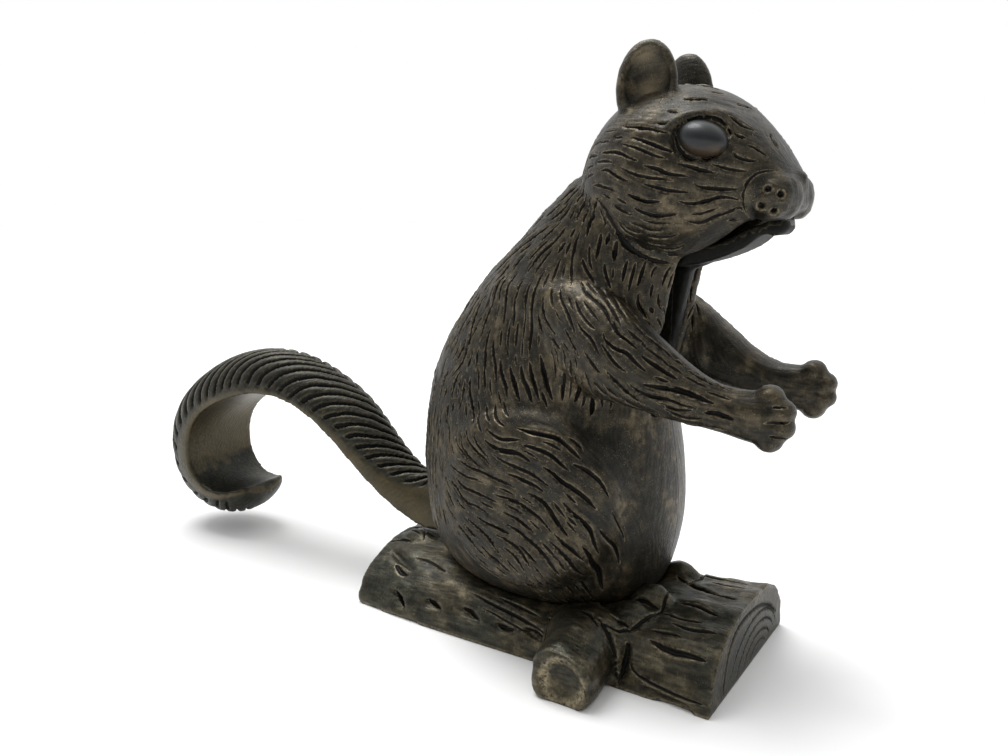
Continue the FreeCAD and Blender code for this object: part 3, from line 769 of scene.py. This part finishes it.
arm_cuts = [
    (1.2, [(20, 107), (24.5, 103.5), (31, 100), (34.8, 96), (37.5, 92.5)]),
    (1.2, [(19.8, 113.3), (21.7, 109.7), (25, 105.6)]),
    (1.1, [(30.5, 102.3), (34.5, 98.7), (37.8, 95.3)]),
    (1.1, [(35.3, 96.7), (37.6, 93.3), (41, 91), (44, 88.8)]),
    (1.1, [(21.6, 102), (24.3, 98.5), (28, 95.5), (31, 93.8)]),
    (1.1, [(24, 96), (26.3, 93.5), (30, 90.8), (33, 86.5)]),
    (1.2, [(33, 93.8), (34.3, 91.3), (37.5, 89.2), (40.8, 88), (43.8, 85.3), (47, 82.8)]),
    (1.1, [(33, 90.5), (35.3, 87.8), (38, 84.8), (41.5, 82.5)]),
    (1.1, [(27.5, 87.8), (30.5, 84), (33.5, 81)]),
    (1.1, [(34.5, 82.8), (38, 79.5), (42, 76), (46, 73)]),
    (1.2, [(41.3, 79.9), (44.8, 77.3), (48.8, 76), (53, 75.8), (57, 74.6), (61, 73.8)]),
    (1.7, [(45.5, 79.5), (50, 79), (55, 78.6), (59.5, 77.4), (62.5, 76.3), (65.5, 75.4)]),
    (1.3, [(44.3, 87.8), (47.8, 85.6), (51.5, 83.4), (55.3, 81.3)]),
    (1.0, [(49.3, 74.8), (52.5, 73.7), (56, 73), (60, 73.2)]),
    (1.0, [(51.5, 72.8), (56.3, 71), (59.8, 70.8), (62.3, 71.2)]),
    (1.5, [(62.5, 72.8), (66, 72.8), (70.5, 71.6)]),
    (0.8, [(79.5, 75.8), (84, 76.1)]),
    (0.8, [(78, 71.6), (85.5, 71.9)]),
    (0.8, [(79.5, 67.7), (84.5, 67.3)]),
]
haunch_cuts = [
    (1.7, [(5.8, 62), (10.5, 61.5), (15.2, 61), (18.7, 60.4), (21.7, 58.8), (24.5, 56.6), (26.8, 54.4)]),
    (1.2, [(-5.6, 60.7), (-2.4, 58.9), (1.1, 58), (4.6, 58.4), (8, 58.8)]),
    (1.7, [(-5.5, 57), (-1.4, 55), (2.4, 54.6), (6.6, 54.6), (9.6, 53.6), (11.8, 52.4)]),
    (1.3, [(-2.5, 53.3), (1.3, 51.6), (6.2, 50.4), (11.2, 49.2), (14.6, 47.8), (18.9, 45.6)]),
    (1.3, [(2.9, 47.8), (6.9, 47.3), (11.2, 46.1), (14.3, 45.1), (17, 43.6)]),
    (1.5, [(8.7, 57.3), (12.7, 56.9), (17.7, 55.6), (20.9, 53.6), (24.3, 51)]),
    (1.5, [(15.5, 52), (19, 50.1), (22.1, 47.8), (25.5, 46), (29, 43.2), (31.8, 39.4)]),
    (1.3, [(24.3, 53.4), (27.6, 52), (30.6, 49.4), (32.6, 46.3), (34, 42.6)]),
    (0.8, [(34.5, 39), (35.2, 32), (35.8, 26.5)]),
    (1.1, [(-16.4, 49.2), (-11.3, 47.3), (-6.1, 46.6), (-2.6, 45.8), (1.4, 44.9), (5.1, 44), (7.6, 43)]),
    (0.9, [(-21.5, 47), (-17.5, 45.2), (-12, 43.8), (-8, 43.6), (-4, 42.8)]),
    (1.2, [(-17.8, 43), (-13.3, 40.2), (-8.7, 39.5), (-4, 38.6), (0.8, 37.6)]),
    (1.0, [(-20.8, 42), (-16.5, 39), (-12.4, 35.5), (-8, 34.8), (-2, 33)]),
    (1.4, [(-2, 40.3), (3.3, 39.7), (7.8, 39), (11.5, 37.4), (16, 34.8), (19.6, 31)]),
    (1.4, [(19.8, 31.5), (22.5, 28.8), (25.5, 26.3), (28, 22.3)]),
    (1.6, [(11, 43), (14.8, 41.5), (17.8, 39.4), (20, 36.4), (22.2, 33.4), (24.5, 30.6)]),
    (1.5, [(21.8, 42.5), (25, 39), (28, 36.5), (30.1, 33.3), (30.8, 28.7), (31.3, 24)]),
    (1.4, [(32, 33.5), (33.3, 29), (33.8, 25), (34, 18.5)]),
    (2.0, [(28, 28), (29.2, 24.3), (29.2, 19), (28.9, 13), (29.1, 9)]),
    (1.3, [(17.9, 29.2), (21.1, 26.2), (23.8, 23), (25.5, 18.3), (27, 14.5)]),
    (1.1, [(1.4, 35), (6.4, 34), (10.5, 32), (14, 29.7)]),
    (1.3, [(2.2, 31.5), (7.5, 30), (10.9, 27.9), (14.5, 25.5), (16.6, 23.4), (18.7, 20), (20.8, 15.8)]),
    (1.1, [(-9, 31.8), (-4.7, 30.2), (0, 29.4), (5, 28)]),
    (1.2, [(-1.4, 27), (3.6, 25.8), (6.7, 24.3), (9.4, 21.6), (11.7, 17.6)]),
    (1.3, [(7.6, 25.3), (10.5, 23.3), (14, 20.2)]),
    (1.1, [(1.5, 23.4), (5.6, 21.4), (7.7, 19), (9.4, 16)]),
    (1.0, [(-13.6, 30.5), (-7.8, 27.5), (-3.7, 25), (-0.6, 21.4), (1.9, 18)]),
    (1.0, [(-7, 21.8), (-3.4, 19), (0.2, 17), (4, 14)]),
    (1.0, [(-17.5, 27), (-12, 23), (-7.5, 19.3), (-3.3, 16.8)]),
    (1.1, [(22.5, 17), (24.5, 11), (26, 5)]),
    (1.0, [(17.5, 16), (19.7, 10.5), (21, 6.5)]),
    (1.0, [(9, 15), (11, 11), (14, 7.5)]),
    (0.9, [(-23, 61), (-22.5, 54), (-20.5, 47)]),
    (0.9, [(-19.5, 60), (-17.5, 54), (-13.5, 51), (-10, 48.5)]),
    (0.9, [(-14.5, 60), (-12, 55.5), (-8, 52.5), (-5, 51), (-1.5, 48)]),
    (0.9, [(-10, 58.8), (-9, 56), (-5.7, 53), (-3.2, 51.5)]),
    (0.9, [(-16, 58.5), (-14.5, 53.5), (-9.5, 49.5), (-5, 47.5)]),
    (1.1, [(-4.5, 68), (-3, 64.8), (-0.8, 63), (2, 61.8)]),
    (1.0, [(-26, 48), (-26.5, 40), (-24, 33.5), (-19.5, 28.5)]),
    (1.0, [(-31, 47), (-31.5, 38), (-30, 30)]),
    (1.0, [(-36, 52), (-37, 44), (-36, 34)]),
    (1.0, [(-24.5, 37), (-21.5, 31.5), (-17, 27)]),
]

# Creases that the sculptor blended away: how far the blending reaches, and the crease's line.
blended_creases = [
    (15, [(20, 68), (29, 61), (34.5, 50), (36.5, 38), (35, 27), (31, 17), (25, 9)]),
    (12, [(25, 9), (14, 5), (3, 3.5), (-8, 5), (-18, 10), (-26, 19), (-30.5, 32), (-30, 45), (-25, 57)]),
    (13, [(-10, 106), (2, 109), (13, 108), (22, 105)]),
    (13, [(-10, 104), (-6, 94), (0, 86), (8, 79), (18, 75), (28, 70)]),
    (5, [(77.5, 137), (78.2, 132), (77.6, 127)]),
]
nape_crease = [(30, [(azimuth, 130 + 0.05 * azimuth) for azimuth in range(0, 81, 10)])]


def other_side(bits):
    """The same bits on the other side of the middle plane."""
    return [(Vector((place.x, -place.y, place.z)), half, depth) for place, half, depth in bits]


def fur_row(azimuth, rises, length, lean):
    """Cuts down the back, which lean away from the middle as they go down."""
    rows = []
    for rise in rises:
        middle, foot = (azimuth + lean, rise - length / 2), (azimuth + 1.6 * lean, rise - length)
        rows.append((1.1, [(azimuth, rise), middle, foot]))
    return rows


def from_behind(point):
    """The point gives an angle round the back, a millimetre for each degree, and a height above the seat."""
    angle = math.radians(point.x / MM)
    outward = Vector((-math.cos(angle), -math.sin(angle), 0))
    return outward * 0.2 + Vector((-8 * MM, 0, seat_height + point.y)), -outward


def flow_of(piece, bits):
    """The way the nearest cuts run, blended into one smooth flow over the surface."""
    blending_rounds, line_break = 14, 4 * cut_step
    runs = []
    for index, bit in enumerate(bits):
        ends = [bits[other][0] for other in (index - 1, index + 1) if 0 <= other < len(bits)]
        ends = [end for end in ends if (end - bit[0]).length < line_break]
        run = Vector((0, 0, 1))
        if len(ends) > 1:
            run = ends[-1] - ends[0]
        elif ends:
            run = ends[0] - bit[0]
        runs.append(run.normalized())
    tree = tree_of(bits)
    places = read_points(piece.data)
    nearest = np.array(runs)[[tree.find(place)[1] for place in places]]
    pull = np.einsum("ij,ik->ijk", nearest, nearest).reshape(-1, 9)
    ends = read_ends(piece.data)
    for _ in range(blending_rounds):
        pull = 0.3 * pull + 0.7 * neighbour_mean(pull, ends)
    flow = np.linalg.eigh(pull.reshape(-1, 3, 3))[1][:, :, 2]
    normals = read_normals(piece.data)
    flow = flow - normals * np.einsum("ij,ij->i", flow, normals)[:, None]
    return flow / np.maximum(np.linalg.norm(flow, axis=1), 1e-6)[:, None]


def fill_between(piece, bits, left_plain, spacing, width, depth_share):
    """Finer cuts in the bare places between the drawn ones, along their flow, on the right side only."""
    off_seam, widest_gap, most_bits, fewest_bits = 0.8 * MM, 6.5 * MM, 30000, 20
    drawn = tree_of(bits)
    flow = flow_of(piece, bits)
    surface = surface_of(piece)
    corners = [face.vertices[0] for face in piece.data.polygons]
    chance = np.random.default_rng(11)
    laid = np.empty((most_bits, 3))
    count = 0
    added = []
    for start in chance.permutation(len(flow)):
        place = piece.data.vertices[start].co
        gap = drawn.find(place)[2]
        if place.y > -off_seam or gap < spacing or gap > widest_gap or left_plain(place):
            continue
        if count and np.min(np.linalg.norm(laid[:count] - np.array(place), axis=1)) < spacing:
            continue
        arms = []
        for side in (-1, 1):
            spot, heading, arm = place.copy(), Vector(flow[start]) * side, []
            for _ in range(int(chance.uniform(3.0, 6.5) * MM / cut_step)):
                spot, _, face, _ = surface.find_nearest(spot + heading * cut_step)
                way = Vector(flow[corners[face]])
                heading = way if way.dot(heading) > 0 else -way
                if drawn.find(spot)[2] < 0.62 * spacing or left_plain(spot):
                    break
                arm.append(spot.copy())
            arms.append(arm)
        line = arms[0][::-1] + [place.copy()] + arms[1]
        if len(line) < fewest_bits:
            continue
        size = width * chance.uniform(0.75, 1.2)
        for index, spot in enumerate(line):
            swell = math.sin(math.pi * (index + 0.5) / len(line)) ** 0.6
            added.append((spot, size * MM / 2 * swell, size * MM * depth_share * swell))
            laid[count] = spot
            count += 1
    return added


def comb(piece, flow, share, fineness, length, height):
    """Raises fine strands that follow the flow: noise averaged along the flow at each point."""
    samples = 7
    places = read_points(piece.data)
    strands = np.zeros(len(places))
    for step in np.linspace(-1, 1, samples):
        strands += [noise.noise(Vector(spot)) for spot in (places + flow * step * length) * fineness]
    lift = strands / samples * share * height
    write_points(piece.data, places + read_normals(piece.data) * lift[:, None])


def left_plain(place):
    """Whether fur is left off: the whisker pad, eye, ear, hand and mouth, and the smooth belly and brow."""
    forward, rise = place.x / MM, (place.z - seat_height) / MM
    plain = ((72.5, 130.5, 9.5, 9.5), (55, 146.3, 9.6, 8.2), (33, 164, 13, 12),
             (82, 72, 13, 14), (62, 116, 16, 8))
    near = any(math.hypot((forward - x) / half_x, (rise - z) / half_z) < 1 for x, z, half_x, half_z in plain)
    bald = rise > 151 or (forward > 47 and rise > 141) or (forward > 58 and rise > 135)
    smooth = (forward > 27 and rise < 68) or (forward > 3 and 61 < rise < 68)
    return near or bald or smooth


def body_places():
    """Where each point of the body is: forward, and up from the seat, in millimetres."""
    places = read_points(body.data)
    return places, places[:, 0] / MM, (places[:, 2] - seat_height) / MM


body = casting_copy("right_body_half", "carved_body", body_grain, mirror_in=True)
ease_corners(body, 3)

# The nape is filled out, so that the head runs into the back without a step.
places, forward, rise = body_places()
behind = np.clip(1 - 1.6 * read_normals(body.data)[:, 0], 0, 1)
nape_fill = 3.4 * np.exp(-((rise - 131) / 10) ** 2) * behind
nape_fill *= np.clip((30 - forward) / 12, 0, 1)
places[:, 0] -= nape_fill * MM
write_points(body.data, places)
whole_surface = surface_of(body)
creases = lay_cuts(whole_surface, blended_creases, from_right)
soften(body, creases + other_side(creases), 70)
nape = lay_cuts(whole_surface, nape_crease, from_behind, longest_jump=9 * MM)
soften(body, nape + other_side(nape), 110)
thin_out_hidden(body, 0.2)

back_rows = fur_row(5, range(118, 22, -15), 11, 2)
back_rows += fur_row(15, range(125, 22, -14), 11, 2.5)
back_rows += fur_row(26, range(119, 25, -14), 12, 2.5)
back_rows += fur_row(38, range(113, 25, -13), 12, 2.5)
crown_cuts = [
    (1.0, [(22, -3), (15, -3.5), (8, -3.5)]),
    (1.0, [(32, -6), (25, -6.5), (18, -7.5)]),
    (1.0, [(14, -7), (7, -8), (1, -8.5)]),
    (1.0, [(22, -11), (15, -12), (9, -13)]),
    (1.0, [(46, -2.5), (40, -3), (33, -3)]),
    (0.9, [(54, -5), (49, -6), (43, -6.5)]),
    (0.9, [(3, -3), (-4, -3.5), (-9, -4)]),
]

# The whisker pad is a plump cushion, the brow swells over the eye, and the throat's slot has eased edges.
pad_height, brow_height, socket_depth = 1.0, 1.0, 1.3
places, forward, rise = body_places()
off_middle = np.abs(places[:, 1]) / MM
pad = np.clip(1 - ((forward - 72.4) / 6.6) ** 2 - ((rise - 130.6) / 7.0) ** 2, 0, 1) ** 0.5
pad *= np.clip((off_middle - 3) / 2, 0, 1)
round_eye = np.hypot((forward - 55) / 9, (rise - 146.2) / 7)
brow = np.exp(-((round_eye - 1.05) / 0.2) ** 2) * np.clip((rise - 146) / 4, 0, 1) * (off_middle > 8)
under_bead = (np.hypot((forward - 54.8) / 7, (rise - 146.3) / 6) < 1) & (off_middle > 18)
lifts = pad_height * pad + brow_height * brow - socket_depth * under_bead
write_points(body.data, places + read_normals(body.data) * (lifts * MM)[:, None])
slot_edges = [(6.4, [(-10.4, height) for height in range(50, 156, 5)])]
slot_bits = lay_cuts(surface_of(body), slot_edges, from_front, longest_jump=12 * MM)
soften(body, slot_bits + other_side(slot_bits), 30)

body_surface = surface_of(body)
body_cuts = []
for rows, aim, depth_share in ((face_cuts + neck_cuts + back_cuts + arm_cuts + haunch_cuts, from_right, 0.78),
                               (soft_creases, from_right, 0.3), (back_rows, from_behind, 0.55),
                               (crown_cuts, from_above, 0.5)):
    body_cuts += lay_cuts(body_surface, rows, aim, depth_share)
body_cuts += fill_between(body, body_cuts, left_plain, 2.3 * MM, 0.9, 0.6)
body_cuts += other_side(body_cuts)
finer_faces(body, body_cuts, 0.5 * MM)
flow = flow_of(body, body_cuts)
cut_field = cut_in(body, body_cuts)
in_fur = 0.25 + 0.75 * np.clip(3 - cut_field, 0, 1)
comb(body, flow, in_fur, 560, 4 * MM, 0.9 * MM)
mark_way(body, "lie", flow)
mark(body, "cut_and_shade", cut_field)

# The ear's cup is rubbed down to brown metal, on the side that faces outward.
places, forward, rise = body_places()
in_ear = np.clip(2.2 - 2.2 * np.hypot((forward - 36.5) / 6.5, (rise - 166.5) / 10), 0, 1)
in_ear *= np.abs(places[:, 1]) > 11 * MM
in_ear *= np.clip(read_normals(body.data)[:, 1] * np.sign(places[:, 1]) * 3, 0, 1)
mark(body, "bare", in_ear * [0.22 + 0.4 * noise.noise(Vector(place) * 170) for place in places])
mark(body, "rubbed_and_highlit", rubbed_edges(body, 0.9 * MM))


def part_at_seam(name, side):
    """One half of the carved body, closed on the seam. Side is -1 for the right half and 1 for the left."""
    shape = bmesh.new()
    shape.from_mesh(body.data)
    everything = shape.verts[:] + shape.edges[:] + shape.faces[:]
    seam = (0, side * seam_gap, 0)
    bmesh.ops.bisect_plane(shape, geom=everything, plane_co=seam, plane_no=(0, -side, 0), clear_outer=True)
    rim = [edge for edge in shape.edges if edge.is_boundary]
    bmesh.ops.triangle_fill(shape, edges=rim, use_beauty=False, normal=(0, -side, 0))
    bmesh.ops.recalc_face_normals(shape, faces=shape.faces)
    return new_piece(shape, name)


body_bronze = bronze("body bronze", (0.0155, 0.0148, 0.0108), (0.0255, 0.021, 0.0124), (0.28, 0.222, 0.135),
                     wear_and_lip_highlight=0.95, brown_areas=0.4)
halves = (("carved_right_half", -1, "right_body_half"), ("carved_left_half", 1, "left_body_half"))
for name, side, node in halves:
    finish_piece(part_at_seam(name, side), body_bronze, ROOT_BODY, "body_bronze", node)
bpy.data.objects.remove(body)


# Eyes: polished beads of dark bronze set in the sockets, one on each side of the head.
# They are pressed and soldered in, and each is brown in its lower part and near black above.
eye_centre = Vector((54.8, 20.5, seat_height / MM + 146.3)) * MM
eye_half = Vector((7.2, 6.4, 4.95)) * MM
eye_tilt = Matrix.Rotation(math.radians(17), 3, "Y").to_quaternion()

eye_glaze, tree, shader = new_material("polished eye")
where = tree.nodes.new("ShaderNodeTexCoord").outputs["Object"]
height = tree.nodes.new("ShaderNodeSeparateXYZ")
tree.links.new(where, height.inputs[0])
waver = arithmetic(tree, "MULTIPLY", speckle(tree, where, 240, 3, 0.5), 0.005)
cloud = arithmetic(tree, "ADD", height.outputs["Z"], waver)
cloud = spread(tree, cloud, eye_centre.z + 1.5 * MM, eye_centre.z - 0.5 * MM)
tint = mix_colour(tree, "MIX", cloud, (0.0095, 0.011, 0.012, 1), (0.04, 0.027, 0.015, 1))
gloss = spread(tree, speckle(tree, where, 1500, 2, 0.6), 0.3, 0.7, 0.38, 0.52)
link_chain(tree, (tint, shader.inputs["Base Color"]), (gloss, shader.inputs["Roughness"]))
shader.inputs["Metallic"].default_value = 0.4
shader.inputs["Coat Weight"].default_value = 0.12
shader.inputs["Coat Roughness"].default_value = 0.12

for name, side in (("right_eye", -1), ("left_eye", 1)):
    shape = bmesh.new()
    centre = Vector((eye_centre.x, side * eye_centre.y, eye_centre.z))
    bmesh.ops.create_icosphere(shape, subdivisions=5, radius=1)
    bmesh.ops.transform(shape, matrix=Matrix.LocRotScale(centre, eye_tilt, eye_half), verts=shape.verts)
    eye = new_piece(shape, name)
    dress(eye, eye_glaze)
    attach(eye, ROOT_BODY)


# Tail lever: one bronze casting from the crank and jaw inside the body to the curled tip of the tail.
# Its outer side has V-shaped rolls of fur that point down the tail, and their ends are painted bright, partly
# as wear from hands and partly as painted highlight.
tail_grain = 0.98 * MM
fur_pitch = 5.2 * MM
fur_slant = 1.0
fur_depth = 1.05 * MM
valley_half = 0.8 * MM
jaw_fill, jaw_tuck = 1.7 * MM, 1.6 * MM
# The foot of the tail's section: forward, up from the seat, and where its back faces, in degrees.
tail_path = [
    (-38, 11, 174), (-56, 9.3, 168), (-71, 17, 146), (-85, 28.2, 137), (-98, 39.8, 141), (-112, 48.8, 156),
    (-131, 52.9, 181), (-150, 49.3, 200), (-166, 42.3, 218), (-176, 33, 245), (-179, 21.5, 270),
    (-176, 11.5, 300), (-168, 6, 334), (-160, 5.5, 366), (-154.6, 6.6, 374), (-151.4, 7.7, 380),
]
# How far round the back the fur reaches: distance down the tail, and the least outward facing with fur.
fur_limit = ((10, 35, 53, 70, 87, 157, 175, 205), (0.78, 0.52, 0.34, 0.24, 0.15, 0.15, 0.3, 0.36))
# How far the middle of the V lies over to the left: distance down the tail, and the shift.
fur_middle = ((10, 70, 130), (5.5, 4.5, 2.0))

tail = casting_copy("tail_lever", "carved_tail", tail_grain)
ease_corners(tail, 5)

# The jaw's upper side is filled up at the front until the mouth all but closes, and its underside tucked up.
places = read_points(tail.data)
facing_up = read_normals(tail.data)[:, 2] * 2
fill = np.clip((places[:, 0] / MM - 57) / 8, 0, 1) * np.clip(facing_up, 0, 1)
places[:, 2] += jaw_fill * fill * (places[:, 2] > 0.1)
tuck = np.clip((places[:, 0] / MM - 64) / 8, 0, 1) * np.clip(0.4 - facing_up, 0, 1)
places[:, 2] += jaw_tuck * tuck * (places[:, 2] > 0.1)
write_points(tail.data, places)

# The heading rides along as a fourth number, made so small that it adds nothing to the line's length.
tail_points = [(x * MM, 0, seat_height + z * MM, heading * 1e-6) for x, z, heading in tail_path]
tail_line = smooth_line(tail_points, 0.5 * MM)
line_tree = KDTree(len(tail_line))
along = [0.0]
for index, point in enumerate(tail_line):
    line_tree.insert(point.xyz, index)
    if index:
        along.append(along[-1] + (point.xyz - tail_line[index - 1].xyz).length)
line_tree.balance()


def tail_marks(piece):
    """For each point: how far down the tail it is, and how far it faces outward."""
    down, outward = [], []
    for place, normal in zip(read_points(piece.data), read_normals(piece.data)):
        _, index, _ = line_tree.find((place[0], 0, place[2]))
        heading = math.radians(tail_line[index].w * 1e6)
        down.append(along[index])
        outward.append(normal[0] * math.sin(heading) + normal[2] * -math.cos(heading))
    return np.array(down), np.array(outward)


# Finer faces on the outer side only, where the rolls of fur are.
_, outward = tail_marks(tail)
outer = (outward > 0.02) & (read_points(tail.data)[:, 0] < -46 * MM)
split_faces(tail, set(np.flatnonzero(outer).tolist()))
ease_corners(tail, 1)

down, outward = tail_marks(tail)
places = read_points(tail.data)
normals = read_normals(tail.data)
broad_wobble = np.array([noise.noise(Vector(place) * 95) for place in places])
wobble = broad_wobble + 0.5 * np.array([noise.noise(Vector(place) * 260) for place in places])
limit = np.interp(down / MM, *fur_limit)
across = np.abs(places[:, 1] - np.interp(down / MM, *fur_middle) * MM)
fade_in = np.clip((down - 6 * MM) / (6 * MM), 0, 1)
fade_out = np.clip((along[-1] - 5 * MM - down) / (6 * MM), 0, 1)
on_back = np.clip((outward + 0.06 * wobble - limit) / 0.14, 0, 1) * fade_in * fade_out
phase = ((down - fur_slant * across) / fur_pitch + 0.13 * wobble) % 1
from_valley = np.minimum(phase, 1 - phase) * fur_pitch * 0.75 / valley_half
valley = (1 - np.minimum(from_valley, 1) ** 2) ** 1.2
crown = np.sin(np.pi * phase) ** 2
hair = (1 - np.minimum(np.abs(phase - 0.5) / 0.07, 1) ** 2) * np.clip(3 * wobble, 0, 1)
places += normals * (fur_depth * on_back * (0.4 * crown - valley - 0.25 * hair))[:, None]
write_points(tail.data, places)

# The ends of the rolls are painted bright, partly as wear and partly as painted highlight; the smooth inner
# side is bare; the upward-facing inner side far down the curl is kept dark; the jaw's underside is painted near
# black as painted shade.
# Bright spots on the ends of the rolls: partly wear from hands, partly painted highlight.
ridge_end = np.clip(1 - np.abs(outward - limit - 0.22) / 0.12, 0, 1) * crown
spots = np.array([noise.noise(Vector(place) * 420) for place in places])
worn_and_highlit_spots = np.clip(4 * spots - 1.1, 0, 1) * ridge_end * on_back
upward = normals[:, 2] + 0.5 * wobble
dark_patch = np.clip((upward - 0.35) / 0.2, 0, 1) * (outward < 0.2) * (down > 160 * MM)
bare = np.clip((limit - outward + 0.05) / 0.15, 0, 1) * np.clip((down - 2 * MM) / (6 * MM), 0, 1)
cut_field = np.clip(from_valley + 3 * (1 - np.clip(on_back * 1.6, 0, 1)), 0, 3)
# The jaw's underside is painted near black in the cut channel: painted shade in the mouth's gap.
jaw_underside_painted_shade = (places[:, 0] > 40 * MM) & (normals[:, 2] < 0.3)
mark(tail, "cut_and_shade", np.where(jaw_underside_painted_shade, 0.62, cut_field))
mark(tail, "bare", bare * (1 - dark_patch) * (0.5 + 0.25 * wobble))
mark(tail, "rubbed_and_highlit", np.maximum(rubbed_edges(tail, 1.1 * MM), 1.2 * worn_and_highlit_spots))
mark_way(tail, "lie", [(0.6, 0.5, 0.6)] * len(places))

tail_bronze = bronze("tail bronze", (0.0125, 0.0134, 0.0098), (0.0185, 0.019, 0.013), (0.105, 0.082, 0.041),
                     wear_and_lip_highlight=0.9, brown_areas=0.25)
finish_piece(tail, tail_bronze, LEVER_BODY, "tail_bronze", "tail_lever")


# Pin, screws, dowels and washers: turned steel. The pin is pressed into the halves, and the lever swings on it.
# Three screws clamp the halves, two dowels line them up, and two screws with washers hold them on the log.
steel, tree, shader = new_material("turned steel")
where = tree.nodes.new("ShaderNodeTexCoord").outputs["Object"]
stretch = tree.nodes.new("ShaderNodeMapping")
stretch.inputs["Scale"].default_value = (9, 1, 9)
tree.links.new(where, stretch.inputs["Vector"])
lines = speckle(tree, stretch.outputs["Vector"], 500, 3, 0.6)
stain = spread(tree, speckle(tree, where, 160, 4, 0.6), 0.4, 0.7)
tint = mix_colour(tree, "MIX", stain, (0.32, 0.32, 0.33, 1), (0.16, 0.14, 0.125, 1))
gloss = spread(tree, lines, 0.3, 0.7, 0.22, 0.42)
relief = tree.nodes.new("ShaderNodeBump")
relief.inputs["Strength"].default_value = 0.3
relief.inputs["Distance"].default_value = 0.05 * MM
link_chain(tree, (tint, shader.inputs["Base Color"]), (gloss, shader.inputs["Roughness"]),
           (lines, relief.inputs["Height"]), (relief.outputs["Normal"], shader.inputs["Normal"]))
shader.inputs["Metallic"].default_value = 1.0
for node in ("pivot_pin", "clamp_screws", "locating_dowels", "base_screws", "base_washers"):
    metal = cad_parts[node].data
    if metal.materials:
        for place in range(len(metal.materials)):
            metal.materials[place] = steel
    else:
        metal.materials.append(steel)


# Table, light and camera: a pale table, a large soft light high above, and the photograph's camera.
# The studio is white behind the object, bright overhead and dimmer behind the camera.
shape = bmesh.new()
bmesh.ops.create_grid(shape, x_segments=1, y_segments=1, size=6)
bmesh.ops.translate(shape, verts=shape.verts, vec=(0, 0, -0.05 * MM))
table = new_piece(shape, "table")
paper, _, shader = new_material("pale table")
shader.inputs["Base Color"].default_value = (0.86, 0.86, 0.86, 1)
shader.inputs["Roughness"].default_value = 0.9
shader.inputs["Specular IOR Level"].default_value = 0.1
table.data.materials.append(paper)

camera_turn, camera_tip = math.radians(33), math.radians(79)
world = bpy.data.worlds.new("studio")
bpy.context.scene.world = world
world.use_nodes = True
tree = world.node_tree
direction = tree.nodes.new("ShaderNodeTexCoord").outputs["Generated"]
parts = tree.nodes.new("ShaderNodeSeparateXYZ")
tree.links.new(direction, parts.inputs[0])
ahead_x = arithmetic(tree, "MULTIPLY", parts.outputs["X"], -math.sin(camera_turn))
ahead_y = arithmetic(tree, "MULTIPLY", parts.outputs["Y"], math.cos(camera_turn))
walls = spread(tree, arithmetic(tree, "ADD", ahead_x, ahead_y), -0.5, 0.45, 0.3, 1.0)
ceiling = spread(tree, parts.outputs["Z"], 0.35, 0.8, 0.0, 1.0)
glow = arithmetic(tree, "ADD", walls, arithmetic(tree, "MULTIPLY", ceiling, 0.5))
tree.links.new(glow, tree.nodes["Background"].inputs["Strength"])
tree.nodes["Background"].inputs["Color"].default_value = (1, 1, 1, 1)

lamp = bpy.data.lights.new("high window", "SUN")
lamp.angle = math.radians(34)
lamp.energy = 2.3
window = bpy.data.objects.new("high window", lamp)
bpy.context.scene.collection.objects.link(window)
window.rotation_euler = Vector((-0.34, 0.08, 1)).to_track_quat("Z", "Y").to_euler()

camera = bpy.data.cameras.new("photo camera")
camera.sensor_width = 36
camera.lens = 36 * 880 / 1008
camera.clip_start = 0.01
viewer = bpy.data.objects.new("photo camera", camera)
bpy.context.scene.collection.objects.link(viewer)
viewer.location = (0.14451, -0.25796, 0.14370)
viewer.rotation_euler = (camera_tip, 0, camera_turn)
bpy.context.scene.camera = viewer
bpy.context.scene.view_settings.view_transform = "Standard"
